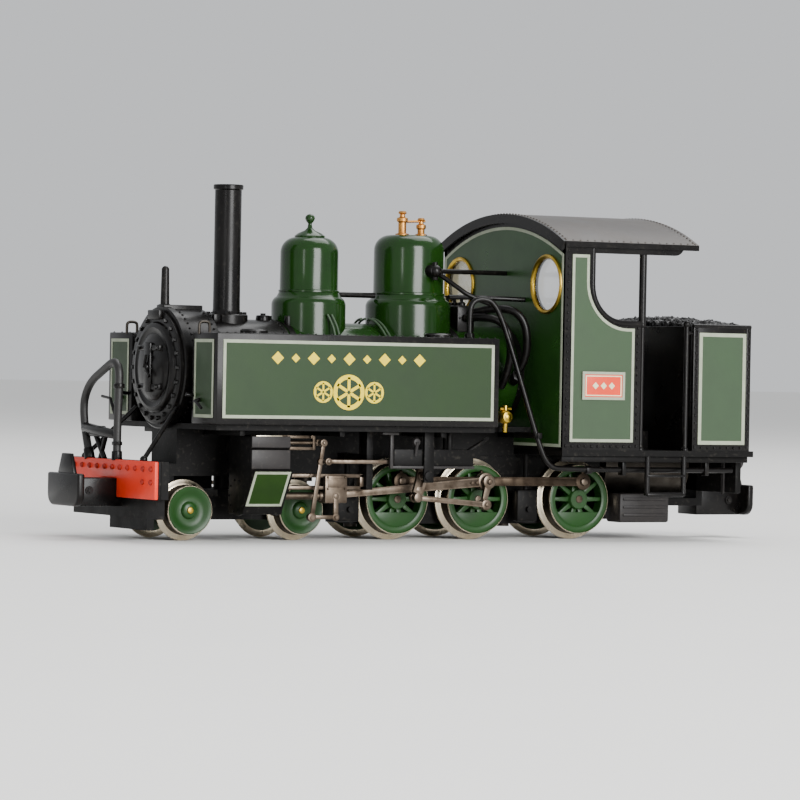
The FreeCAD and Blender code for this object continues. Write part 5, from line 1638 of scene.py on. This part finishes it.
    def link_foot(self, side: Side) -> Vector:
        """Place of the expansion link's foot, from the eccentric rod's end."""
        pivot = self.pin(f"expansion_link_{side.word}_rock")
        rod = box_of(f"eccentric_rod_{side.word}")
        offset = rod.high.x - 0.6 - pivot.x
        reach = 2.43
        return Vector((pivot.x + offset, 0, pivot.z - math.sqrt(max(reach ** 2 - offset ** 2, 0.0))))

    def link(self, side: Side) -> None:
        """Slotted expansion link, curved towards the cylinder."""
        name = f"expansion_link_{side.word}"
        pivot = self.pin(name + "_rock")
        foot = self.link_foot(side)
        sign = side.value
        piece = Workpiece(name + "_forging")
        radius = 12.0
        sweep = math.degrees(2.0 / radius)
        centre = (pivot.x + radius, pivot.z)
        outer = arc(centre, radius + 0.62, 180 + sweep, 180 - sweep, 10)
        inner = arc(centre, radius - 0.62, 180 - sweep, 180 + sweep, 10)
        piece.slab([(x, sign * 9.4, z) for x, z in outer + inner], (0, sign * 0.2, 0), 0.05)
        piece.border([(x, sign * 9.6, z) for x, z in outer + inner], 0.0, 0.34, (0, sign * 0.26, 0))
        piece.slab([(pivot.x - 0.42, sign * 9.4, pivot.z - 1.2), (pivot.x + 0.42, sign * 9.4, pivot.z - 1.2),
                    (pivot.x + 0.32, sign * 9.4, pivot.z - 2.4), (pivot.x - 0.32, sign * 9.4, pivot.z - 2.4)],
                   (0, sign * 0.45, 0), 0.05)
        piece.rod((pivot.x, sign * 9.36, pivot.z - 2.43), (pivot.x, sign * 9.88, pivot.z - 2.43), 0.5, 0.5,
                  28, 0.05)
        piece.rod((pivot.x, sign * 9.5, pivot.z), (pivot.x, sign * 11.3, pivot.z), 0.29, sides=20)
        piece.rod((pivot.x, sign * 9.8, pivot.z), (pivot.x, sign * 10.0, pivot.z), 0.5, 0.45, 24, 0.05)
        tilt = math.atan2(pivot.x - foot.x, pivot.z - foot.z)
        piece.turned(pivot, Axis.Y, tilt)
        piece.mount(SHOP.motion, name, [name])

    def lever(self, side: Side) -> None:
        """Combination lever between the union link and the valve spindle."""
        name = f"combination_lever_{side.word}"
        foot = self.pin(name + "_swing")
        top = (16.8, 10.7)
        piece = Workpiece(name + "_forging")
        self.strap(piece, ((foot.x, foot.z), top), (0.5, 0.42), 9.85, 10.15, side, False)
        step = Vector((foot.x, 0, foot.z)).lerp(Vector((top[0], 0, top[1])), 0.75)
        sign = side.value
        piece.rod((step.x, sign * 9.84, step.z), (step.x, sign * 10.22, step.z), 0.4, 0.38, 20, 0.05)
        self.nut(piece, top, 10.12, 0.2, side, 0.22)
        piece.mount(SHOP.motion, name, [name])

    def radius_rod(self, side: Side) -> None:
        """Radius rod, and the valve spindle with its fork."""
        name = f"radius_rod_{side.word}"
        sign = side.value
        piece = Workpiece(name + "_forging")
        self.strap(piece, ((4.45, 8.7), (16.5, 8.7)), (0.4, 0.4), 10.35, 10.75, side, False)
        self.nut(piece, (16.5, 8.7), 10.72, 0.2, side, 0.22)
        piece.rod((16.3, sign * 9.1, 10.7), (22.8, sign * 9.1, 10.7), 0.25, sides=20)
        ys = sorted((sign * 8.82, sign * 9.38))
        piece.block((16.2, ys[0], 10.32), (17.35, ys[1], 11.08), 0.1)
        piece.mount(SHOP.motion, name, [name])


# ------------------------------------------------------------------ wheels


@dataclass
class Wheels:
    """Driving wheelsets and bogie wheelsets."""

    joints: dict[str, Vector] = field(default_factory=dict)
    spokes: int = 10

    def build(self) -> None:
        """Make every wheel."""
        for axle in ("front", "middle", "rear"):
            self.driver(axle)
        for axle in ("front", "rear"):
            self.bogie_wheels(axle)

    def tyre(self, bright: Workpiece, dark: Workpiece, centre: Vector, tread: float, side: Side) -> None:
        """A steel tyre: a rounded flange and a thin bright face, with a coned tread between whose dark colour
        is painted shade.

        Args:
            bright: The piece that takes the turned faces.
            dark: The piece that takes the tread, painted dark as shade.
            centre: The axle's centre.
            tread: Tread radius.
            side: Which side.
        """
        flange = tread + 0.6
        inside = tread - 0.12
        rim = [(inside, 3.72), (flange - 0.22, 3.72), (flange - 0.06, 3.8), (flange, 3.95),
               (flange - 0.05, 4.1),
               (tread + 0.2, 4.22), (tread, 4.36), (inside, 4.36)]
        face = [(inside, 5.7), (tread - 0.04, 5.7), (tread - 0.05, 5.8), (tread - 0.1, 5.88), (inside, 5.88)]
        cone = [(inside, 4.3), (tread + 0.02, 4.3), (tread - 0.03, 5.72), (inside, 5.72)]
        origin = (centre.x, 0, centre.z)
        for piece, profile in ((bright, rim), (bright, face), (dark, cone)):
            piece.lathe([(radius, side.value * along) for radius, along in profile], origin, Axis.Y, 72)

    def driver(self, axle: str) -> None:
        """One driving wheelset: tyres and axle, then the two spoked centres."""
        centre = self.joints[f"driver_{axle}_spin"]
        body = f"driver_axle_{axle}"
        metal = Workpiece(f"tyres_{axle}")
        treads = Workpiece(f"treads_{axle}")
        for side in Side:
            self.tyre(metal, treads, centre, 3.92, side)
        # The treads are painted dark as shade.
        treads.mount(SHOP.tread, body)
        metal.rod((centre.x, -3.75, centre.z), (centre.x, 3.75, centre.z), 0.74, sides=32)
        metal.mount(SHOP.tyre, body, [f"driver_tyres_{axle}"])
        for side in Side:
            green = Workpiece(f"wheel_centre_{axle}_{side.word}")
            self.spoked_centre(green, centre, side)
            crank = 0.0 if side is Side.LEFT else math.pi / 2
            green.turned(centre, Axis.Y, crank)
            green.mount(SHOP.wheel, body, [f"driver_centres_{axle}"])
            pins = Workpiece(f"crank_pin_{axle}_{side.word}")
            sign = side.value
            reach = 7.85 if axle == "middle" else 7.0
            pins.rod((centre.x, sign * 5.8, centre.z + 2), (centre.x, sign * reach, centre.z + 2), 0.39,
                     sides=24)
            if axle != "middle":
                pins.rod((centre.x, sign * 6.86, centre.z + 2), (centre.x, sign * 7.08, centre.z + 2), 0.5,
                         0.45, 6, 0.04)
            pins.rod((centre.x, sign * 5.7, centre.z), (centre.x, sign * 6.02, centre.z), 0.5, 0.42, 24, 0.06)
            pins.turned(centre, Axis.Y, crank)
            pins.mount(SHOP.motion, body)

    def spoked_centre(self, piece: Workpiece, centre: Vector, side: Side) -> None:
        """Rim, tapered spokes, hub, crank boss and balance weight, with the crank straight up."""
        sign = side.value
        x, z = centre.x, centre.z
        rim = [(3.05, 4.3), (3.5, 4.0), (3.79, 4.0), (3.79, 5.76), (3.66, 5.84), (3.24, 5.84), (3.06, 5.76)]
        piece.lathe([(radius, sign * along) for radius, along in rim], (x, 0, z), Axis.Y, 72)
        hub = [(0, 3.75), (1.15, 3.75), (1.15, 5.8), (1.05, 5.92), (0, 5.95)]
        piece.lathe([(radius, sign * along) for radius, along in hub], (x, 0, z), Axis.Y, 36)
        for number in range(self.spokes):
            angle = math.tau * (number + 0.5) / self.spokes
            out = Vector((math.sin(angle), 0, math.cos(angle)))
            across = Vector((out.z, 0, -out.x))
            root, tip = centre + out * 0.9, centre + out * 3.2
            corners = [root + across * 0.3, root - across * 0.3, tip - across * 0.2, tip + across * 0.2]
            piece.slab([(c.x, sign * 4.5, c.z) for c in corners], (0, sign * 1.0, 0), 0.08)
        chord = -2.0 + 0.55
        reach = 3.08
        lean = math.degrees(math.acos(-chord / reach))
        crescent = [(x + dx, z + dz) for dx, dz in arc((0, 0), reach, 270 - lean, 270 + lean, 20)]
        piece.slab([(cx, sign * 4.5, cz) for cx, cz in crescent], (0, sign * 1.22, 0), 0.08)
        piece.rod((x, sign * 4.4, z + 2), (x, sign * 5.98, z + 2), 0.88, 0.84, 32, 0.1)
        web = [(x - 0.9, z), (x + 0.9, z), (x + 0.75, z + 2), (x - 0.75, z + 2)]
        piece.slab([(cx, sign * 4.45, cz) for cx, cz in web], (0, sign * 1.3, 0), 0.1)

    def bogie_wheels(self, axle: str) -> None:
        """One bogie wheelset with green disc centres."""
        centre = self.joints[f"bogie_{axle}_spin"]
        body = f"bogie_axle_{axle}"
        metal = Workpiece(f"bogie_tyres_{axle}")
        treads = Workpiece(f"bogie_treads_{axle}")
        for side in Side:
            self.tyre(metal, treads, centre, 2.7, side)
        # The treads are painted dark as shade.
        treads.mount(SHOP.tread, body)
        metal.rod((centre.x, -3.75, centre.z), (centre.x, 3.75, centre.z), 0.5, sides=28)
        metal.mount(SHOP.tyre, body, [f"bogie_wheels_{axle}"])
        green = Workpiece(f"bogie_discs_{axle}")
        for side in Side:
            disc = [(0, 3.74), (2.58, 3.74), (2.58, 5.78), (2.5, 5.9), (2.1, 5.84), (1.85, 5.62),
                    (1.3, 5.5), (0.95, 5.55),
                    (0.85, 5.78), (0.7, 5.9), (0, 5.92)]
            green.lathe([(radius, side.value * along) for radius, along in disc], (centre.x, 0, centre.z),
                        Axis.Y, 56)
        green.mount(SHOP.wheel, body)
        caps = Workpiece(f"bogie_caps_{axle}")
        for sign in (1, -1):
            caps.rod((centre.x, sign * 5.8, centre.z), (centre.x, sign * 6.05, centre.z), 0.42, 0.34, 24,
                     0.06)
        caps.mount(SHOP.brass, body)


# ------------------------------------------------------------------ beams, footplate, pipes


@dataclass
class Running:
    """Beams, couplers, footplate details, steps, pipes, hose and handrails."""

    def build(self) -> None:
        """Make every part."""
        self.front_beam()
        self.couplers()
        self.footplate()
        self.steps()
        self.pipes()
        self.hose()
        self.rails()
        self.below()

    def front_beam(self) -> None:
        """Red beam, notched below, with a row of rivets."""
        box = box_of("front_beam")
        low, high = box.low, box.high
        beam = Workpiece("beam_plate")
        notch = 2.05
        outline = [(low.y, low.z), (-notch, low.z), (-notch, 6.6), (notch, 6.6), (notch, low.z),
                   (high.y, low.z),
                   (high.y, high.z), (low.y, high.z)]
        beam.slab([(low.x + 0.35, y, z) for y, z in outline], (high.x - low.x - 0.35, 0, 0), 0.1)
        marks = Workpiece("beam_rivets")
        marks.rivets((high.x, low.y + 0.9, high.z - 0.8), (high.x, high.y - 0.9, high.z - 0.8), 1.9, 0.32)
        for y in (-9.6, 9.6):
            marks.rivets((high.x, y - 1.0, high.z - 2.2), (high.x, y + 1.0, high.z - 2.2), 1.9, 0.32)
        # The rivet heads take the beam red painted darker as shade.
        marks.mount(SHOP.rivet)
        edge = Workpiece("beam_edges")
        edge.slab([(low.x, y, z) for y, z in outline], (0.36, 0, 0), 0.04)
        edge.mount(SHOP.dull)
        beam.mount(SHOP.red, replaces=["front_beam"])

    def couplers(self) -> None:
        """Centre buffing plates with their shanks and humps."""
        for name, facing in (("front_coupler", 1), ("rear_coupler", -1)):
            box = box_of(name)
            face = box.high.x if facing > 0 else box.low.x
            root = box.low.x if facing > 0 else box.high.x
            half, low, top = box.high.y, box.low.z, box.low.z + 3.5
            inner = face - facing * 0.8
            piece = Workpiece(name + "_head")
            corners = [(-half, top)] + arc((-half + 1.3, low + 1.3), 1.3, 180, 270, 6) + arc(
                (half - 1.3, low + 1.3), 1.3, 270, 360, 6) + [(half, top)]
            piece.slab([(inner, y, z) for y, z in corners], (face - inner, 0, 0), 0.22, 3)
            lug = [(-2.1, top - 0.2), (2.1, top - 0.2), (1.05, box.high.z), (-1.05, box.high.z)]
            piece.slab([(inner, y, z) for y, z in lug], (facing * 0.5, 0, 0), 0.1)
            ends = sorted((inner + facing * 0.1, root))
            piece.block((ends[0], -2.0, low), (ends[1], 2.0, top - 0.5), 0.12)
            piece.rod((inner - facing * 1.4, -2.15, low + 1.7), (inner - facing * 1.4, 2.15, low + 1.7),
                      0.45, sides=20)
            piece.rod((inner - facing * 1.4, 2.1, low + 1.7), (inner - facing * 1.4, 2.3, low + 1.7), 0.3,
                      0.26, 6)
            piece.mount(SHOP.black, replaces=[name])

    def footplate(self) -> None:
        """Valance, bolts and the dark tank supports below the running plate."""
        box = box_of("footplate")
        bunker = box_of("bunker")
        piece = Workpiece("footplate_edges")
        for sign in (1, -1):
            ys = sorted((sign * 13.5, sign * 13.1))
            piece.block((box.low.x + 0.4, ys[0] - sign * 0.5, 8.9), (-11.3, ys[1] - sign * 0.5, 9.6), 0.08)
            for x in (-9.2, 3.0, 15.5, 27.5):
                inner = sorted((sign * 3.1, sign * 11.8))
                piece.block((x - 0.3, inner[0], 11.4), (x + 0.3, inner[1], 12.05), 0.06)
        piece.block((bunker.low.x - 0.5, -11.2, 5.4), (bunker.low.x + 0.25, 11.2, 9.6), 0.1)
        piece.rivets((bunker.low.x - 0.5, -10.4, 8.9), (bunker.low.x - 0.5, 10.4, 8.9), 1.1, 0.16)
        piece.mount(SHOP.dull)

    def steps(self) -> None:
        """Cab steps: bent straps with two treads."""
        box = box_of("cab_steps")
        runs = []
        piece = Workpiece("step_treads")
        for sign in (1, -1):
            runs.append([(box.low.x + 0.3, sign * 13.0, 9.6), (box.low.x + 0.3, sign * 13.0, 7.0),
                         (box.low.x + 0.3, sign * 13.0, 5.35), (box.low.x + 0.5, sign * 13.0, 5.3),
                         (box.high.x - 0.5, sign * 13.0, 5.3), (box.high.x - 0.3, sign * 13.0, 5.35),
                         (box.high.x - 0.3, sign * 13.0, 7.0), (box.high.x - 0.3, sign * 13.0, 9.6)])
            ys = sorted((sign * 12.45, sign * 13.35))
            for z in (5.15, 7.25):
                piece.block((box.low.x + 0.2, ys[0], z), (box.high.x - 0.2, ys[1], z + 0.28), 0.06)
        piece.mount(SHOP.black, replaces=["cab_steps"])
        bent_pipe("step_straps", runs, 0.3, SHOP.black)

    def pipes(self) -> None:
        """Feed and steam pipes on both sides, with their unions."""
        lower = [(-1.6, 9.0, 22.2), (-1.6, 9.0, 24.4), (-1.7, 9.0, 26.2), (-2.9, 9.3, 26.8),
                 (-4.6, 9.7, 26.2),
                 (-6.4, 10.3, 20.8), (-9.2, 11.4, 11.0), (-10.4, 11.7, 8.3), (-12.6, 11.7, 8.0),
                 (-34.6, 11.7, 8.0)]
        steam = [(-5.2, 2.8, 25.2), (-7.2, 6.2, 26.0), (-9.2, 7.7, 25.0), (-9.9, 7.8, 21.8),
                 (-9.7, 6.8, 19.2), (-9.4, 5.2, 17.8)]
        third = [(-4.6, 2.9, 24.6), (-6.0, 5.6, 24.9), (-7.6, 7.0, 23.8), (-8.1, 7.2, 20.8),
                 (-8.0, 6.2, 18.2), (-7.9, 5.3, 17.0)]
        thick = [lower, mirrored(lower)]
        thin = [steam, third, mirrored(steam), mirrored(third)]
        bent_pipe("feed_pipes", thick, 0.31, SHOP.black, ["side_pipes"])
        bent_pipe("steam_pipes", thin, 0.45, SHOP.black)
        unions = Workpiece("pipe_unions")
        for sign in (1, -1):
            unions.rod((-1.6, sign * 9.0, 22.2), (-1.6, sign * 9.0, 22.9), 0.6, 0.55, 6, 0.06)
            unions.rod((-9.5, sign * 5.2, 17.8), (-9.5, sign * 6.3, 18.3), 0.75, 0.7, 6, 0.06)
            unions.rod((-15.2, sign * 11.7, 8.0), (-15.9, sign * 11.7, 8.0), 0.5, 0.5, 6, 0.06)
            for x in (-20.0, -31.0):
                unions.block((x - 0.25, min(sign * 11.2, sign * 12.2), 7.4),
                             (x + 0.25, max(sign * 11.2, sign * 12.2), 9.6), 0.08)
        unions.mount(SHOP.black)
        brass = Workpiece("injector_valves")
        for sign in (1, -1):
            brass.rod((-6.8, sign * 6.0, 13.7), (-6.8, sign * 8.9, 13.7), 0.62, 0.62, 20, 0.08)
            brass.ball((-6.8, sign * 8.2, 13.7), 0.82)
            brass.rod((-6.8, sign * 8.2, 12.0), (-6.8, sign * 8.2, 15.0), 0.34, 0.34, 16, 0.05)
            brass.rod((-7.5, sign * 8.2, 14.6), (-6.1, sign * 8.2, 14.6), 0.2, sides=12)
        brass.mount(SHOP.brass)

    def hose(self) -> None:
        """Brake standpipe with its swan neck, and the hose hung to one side."""
        beam = box_of("front_beam")
        x, foot = beam.centre.x, beam.high.z
        route = [(x, 1.2, foot), (x, 1.2, 12.0), (x, 1.5, 16.6), (x, 1.5, 18.3), (x, 0.2, 19.2),
                 (x, -2.6, 18.1),
                 (x, -5.7, 16.9), (x, -7.3, 15.2), (x, -7.5, 13.6), (x, -7.0, 11.6), (x, -6.3, 9.9),
                 (x, -5.7, foot)]
        bent_pipe("brake_hose", [route], 0.44, SHOP.rubber, ["front_hose"])
        ends = Workpiece("hose_clips")
        ends.rod((x, 1.2, foot - 0.1), (x, 1.2, foot + 0.9), 0.6, 0.56, 20, 0.08)
        ends.rod((x, 1.2, foot + 1.5), (x, 1.2, foot + 1.9), 0.58, 0.58, 6, 0.06)
        ends.rod((x, 1.5, 16.2), (x, 1.5, 16.7), 0.6, 0.6, 20, 0.08)
        ends.rod((x, -5.7, foot - 0.1), (x, -6.1, foot + 1.0), 0.6, 0.56, 20, 0.08)
        ends.rod((x, -6.9, 11.8), (x, 1.1, 11.2), 0.62, 0.5, 16, 0.1)
        ends.block((x - 0.35, -5.4, 10.9), (x + 0.35, -2.2, 12.1), 0.2)
        ends.rod((x, -4.4, 11.3), (x, -1.9, foot), 0.3, sides=12)
        ends.rod((x, -1.6, 11.1), (x, -3.0, foot), 0.26, sides=12)
        ends.rod((x, 1.0, 12.6), (x, -0.7, 15.1), 0.16, sides=12)
        ends.rod((x, -0.7, 15.1), (x, -2.8, 15.3), 0.16, sides=12)
        ends.mount(SHOP.black)

    def rails(self) -> None:
        """Pillars, handrails, stays and the lamp iron, in place of their plain rods."""
        piece = Workpiece("pillars_and_rails")
        for sign in (1, -1):
            piece.rod((-21.4, sign * 13.15, 10.2), (-21.4, sign * 13.15, 24.3), 0.25, sides=20)
            piece.rod((-21.4, sign * 13.1, 24.2), (-21.4, sign * 13.1, 32.7), 0.42, sides=20)
            piece.rod((-27.3, sign * 13.15, 10.2), (-27.3, sign * 13.15, 24.4), 0.28, sides=20)
            for x, z in ((-21.4, 10.3), (-21.4, 24.2), (-21.4, 32.5), (-27.3, 10.3), (-27.3, 24.4)):
                piece.ball((x, sign * 13.15, z), 0.42)
            piece.rod((-27.3, sign * 13.15, 23.4), (-28.1, sign * 13.15, 23.4), 0.2, sides=12)
        smokebox = box_of("smokebox")
        piece.rod((31.2, 0, smokebox.high.z - 0.1), (31.2, 0, 29.1), 0.5, 0.42, 20)
        piece.ball((31.2, 0, 29.05), 0.425)
        piece.block((30.8, -0.7, smokebox.high.z - 0.3), (31.7, 0.7, smokebox.high.z + 0.25), 0.1)
        for sign in (1, -1):
            piece.rod((36.95, sign * 7.4, 8.7), (32.0, sign * 5.0, 14.2), 0.25, sides=16)
            piece.ball((36.9, sign * 7.4, 8.75), 0.42)
        piece.rod((5.5, 0, 26.9), (10.4, 0, 26.9), 0.3, sides=20)
        piece.mount(SHOP.black, replaces=["handrails"])

    def below(self) -> None:
        """Brake blocks, hangers, sand boxes and springs round the wheels."""
        piece = Workpiece("brake_blocks")
        case = Workpiece("axle_box_covers")
        for sign in (1, -1):
            for x in (-11.5, 11.2):
                ys = sorted((sign * 4.3, sign * 5.6))
                piece.block((x - 1.35, ys[0], 2.0), (x + 1.35, ys[1], 5.6), 0.3)
                piece.rod((x, sign * 5.0, 5.0), (x, sign * 5.0, 9.6), 0.3, sides=12)
                piece.rod((x, sign * 4.0, 3.4), (x, sign * 6.0, 3.4), 0.3, sides=14)
            ys = sorted((sign * 3.3, sign * 6.3))
            case.block((-29.8, ys[0], 1.9), (-23.2, ys[1], 5.2), 0.25)
            for z in (2.6, 3.5, 4.4):
                case.block((-29.4, min(sign * 6.2, sign * 6.45), z),
                           (-23.6, max(sign * 6.2, sign * 6.45), z + 0.3), 0.06)
            case.slab([(-35.3, sign * 9.0, 9.4), (-38.2, sign * 9.0, 9.4), (-38.0, sign * 9.0, 8.5),
                       (-35.3, sign * 9.0, 5.2)], (0, -sign * 0.5, 0), 0.05)
            for x in (-1.2, 0.8):
                piece.rod((x, sign * 4.9, 8.4), (x, sign * 4.9, 12.0), 0.35, sides=14)
        piece.mount(SHOP.dull, replaces=["brake_gear"])
        case.mount(SHOP.chest)


# ------------------------------------------------------------------ carried-over nodes, studio


NODE_COATS: dict[str, str] = {
    "beam_backing": "dull",
    "chassis_frame": "dull",
    "keeper_plate": "dull",
    "footplate": "dull",
    "screws": "steel",
    "motor_can": "steel",
    "armature_and_worm": "steel",
    "worm_wheel": "brass",
    "pickup_strips": "dull",
    "circuit_board": "wheel",
    "cab_glazing": "glaze",
    "backhead": "dull",
    "bogie_frame": "dull",
}


def dress_nodes(frame: dict) -> None:
    """Give each node that stays in view its finish.
    """
    for name, coat in NODE_COATS.items():
        item = frame["nodes"][name]
        item.data.materials.clear()
        item.data.materials.append(finish_of(getattr(SHOP, coat)))


@dataclass
class Studio:
    """Pale floor, soft lights and the camera."""

    yaw: float = 28.98
    pitch: float = 0.41
    roll: float = 1.04
    distance: float = 453.0
    aim: Point = (2.0, 0.0, 16.0)
    shift_up: float = -0.646
    lens: float = 183.0

    def build(self) -> None:
        """Set the floor, the lights and the camera."""
        self.floor()
        self.lights()
        self.camera()

    def floor(self) -> None:
        """A wide pale floor."""
        part = bmesh.new()
        bmesh.ops.create_grid(part, x_segments=1, y_segments=1, size=4.0)
        data = bpy.data.meshes.new("studio_floor")
        part.to_mesh(data)
        part.free()
        floor = bpy.data.objects.new("studio_floor", data)
        bpy.context.scene.collection.objects.link(floor)
        material, tree, shader = new_material("studio_paper")
        fibre = grain(tree, 30.0, 2.0)
        tone = node(tree, "Mix", {"data_type": "RGBA", 6: linear("F3F2EF"), 7: linear("EFEEEB")},
                    {0: fibre.outputs["Fac"]})
        tree.links.new(tone.outputs[2], shader.inputs["Base Color"])
        shader.inputs["Roughness"].default_value = 0.9
        data.materials.append(material)

    def lights(self) -> None:
        """A tall key light square to the side, a narrow front light and a light over the roof."""
        world = bpy.data.worlds.new("studio_air")
        bpy.context.scene.world = world
        world.use_nodes = True
        world.node_tree.nodes["Background"].inputs["Color"].default_value = linear("F2F4F7")
        world.node_tree.nodes["Background"].inputs["Strength"].default_value = 0.82
        for name, place, wide, tall, power in (
                ("key_light", (-0.03, 0.55, 0.16), 0.26, 0.34, 5.0),
                ("front_light", (0.50, 0.42, 0.10), 0.05, 0.30, 0.35),
                ("roof_light", (-0.25, -0.10, 0.60), 0.50, 0.50, 3.4)):
            data = bpy.data.lights.new(name, "AREA")
            data.shape = "RECTANGLE"
            data.size = wide
            data.size_y = tall
            data.energy = power
            light = bpy.data.objects.new(name, data)
            aim = Vector((0, 0, 0.018)) - Vector(place)
            light.matrix_world = Matrix.Translation(place) @ aim.to_track_quat("-Z", "Y").to_matrix().to_4x4()
            bpy.context.scene.collection.objects.link(light)

    def camera(self) -> None:
        """A long lens at the viewing angle."""
        yaw, pitch, roll = (math.radians(angle) for angle in (self.yaw, self.pitch, self.roll))
        back = Vector((math.sin(yaw) * math.cos(pitch), math.cos(yaw) * math.cos(pitch), math.sin(pitch)))
        level = Vector((-math.cos(yaw), math.sin(yaw), 0))
        upright = back.cross(level)
        right = level * math.cos(roll) + upright * math.sin(roll)
        up = upright * math.cos(roll) - level * math.sin(roll)
        place = (Vector(self.aim) + back * self.distance + up * self.shift_up) * MM
        data = bpy.data.cameras.new("camera")
        data.lens = self.lens
        data.sensor_width = 36
        data.clip_start = 0.01
        camera = bpy.data.objects.new("camera", data)
        camera.matrix_world = Matrix((
            (right.x, up.x, back.x, place.x),
            (right.y, up.y, back.y, place.y),
            (right.z, up.z, back.z, place.z),
            (0, 0, 0, 1)))
        bpy.context.scene.collection.objects.link(camera)
        bpy.context.scene.camera = camera


def main() -> None:
    """Load the frame, build the engine round it and set the studio."""
    logging.basicConfig(level=logging.INFO, format="%(name)s: %(message)s")
    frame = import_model()
    pins = {joint["name"]: Vector(joint["pos_m"]) / MM for joint in frame["joints"] if "pos_m" in joint}
    dress_nodes(frame)
    Boiler().build()
    Smokebox().build()
    for side in Side:
        SideTank(side).build()
    Cab().build()
    Bunker().build()
    Motion(pins).build()
    Wheels(pins).build()
    Running().build()
    Studio().build()
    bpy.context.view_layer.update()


if __name__ == "__main__":
    main()
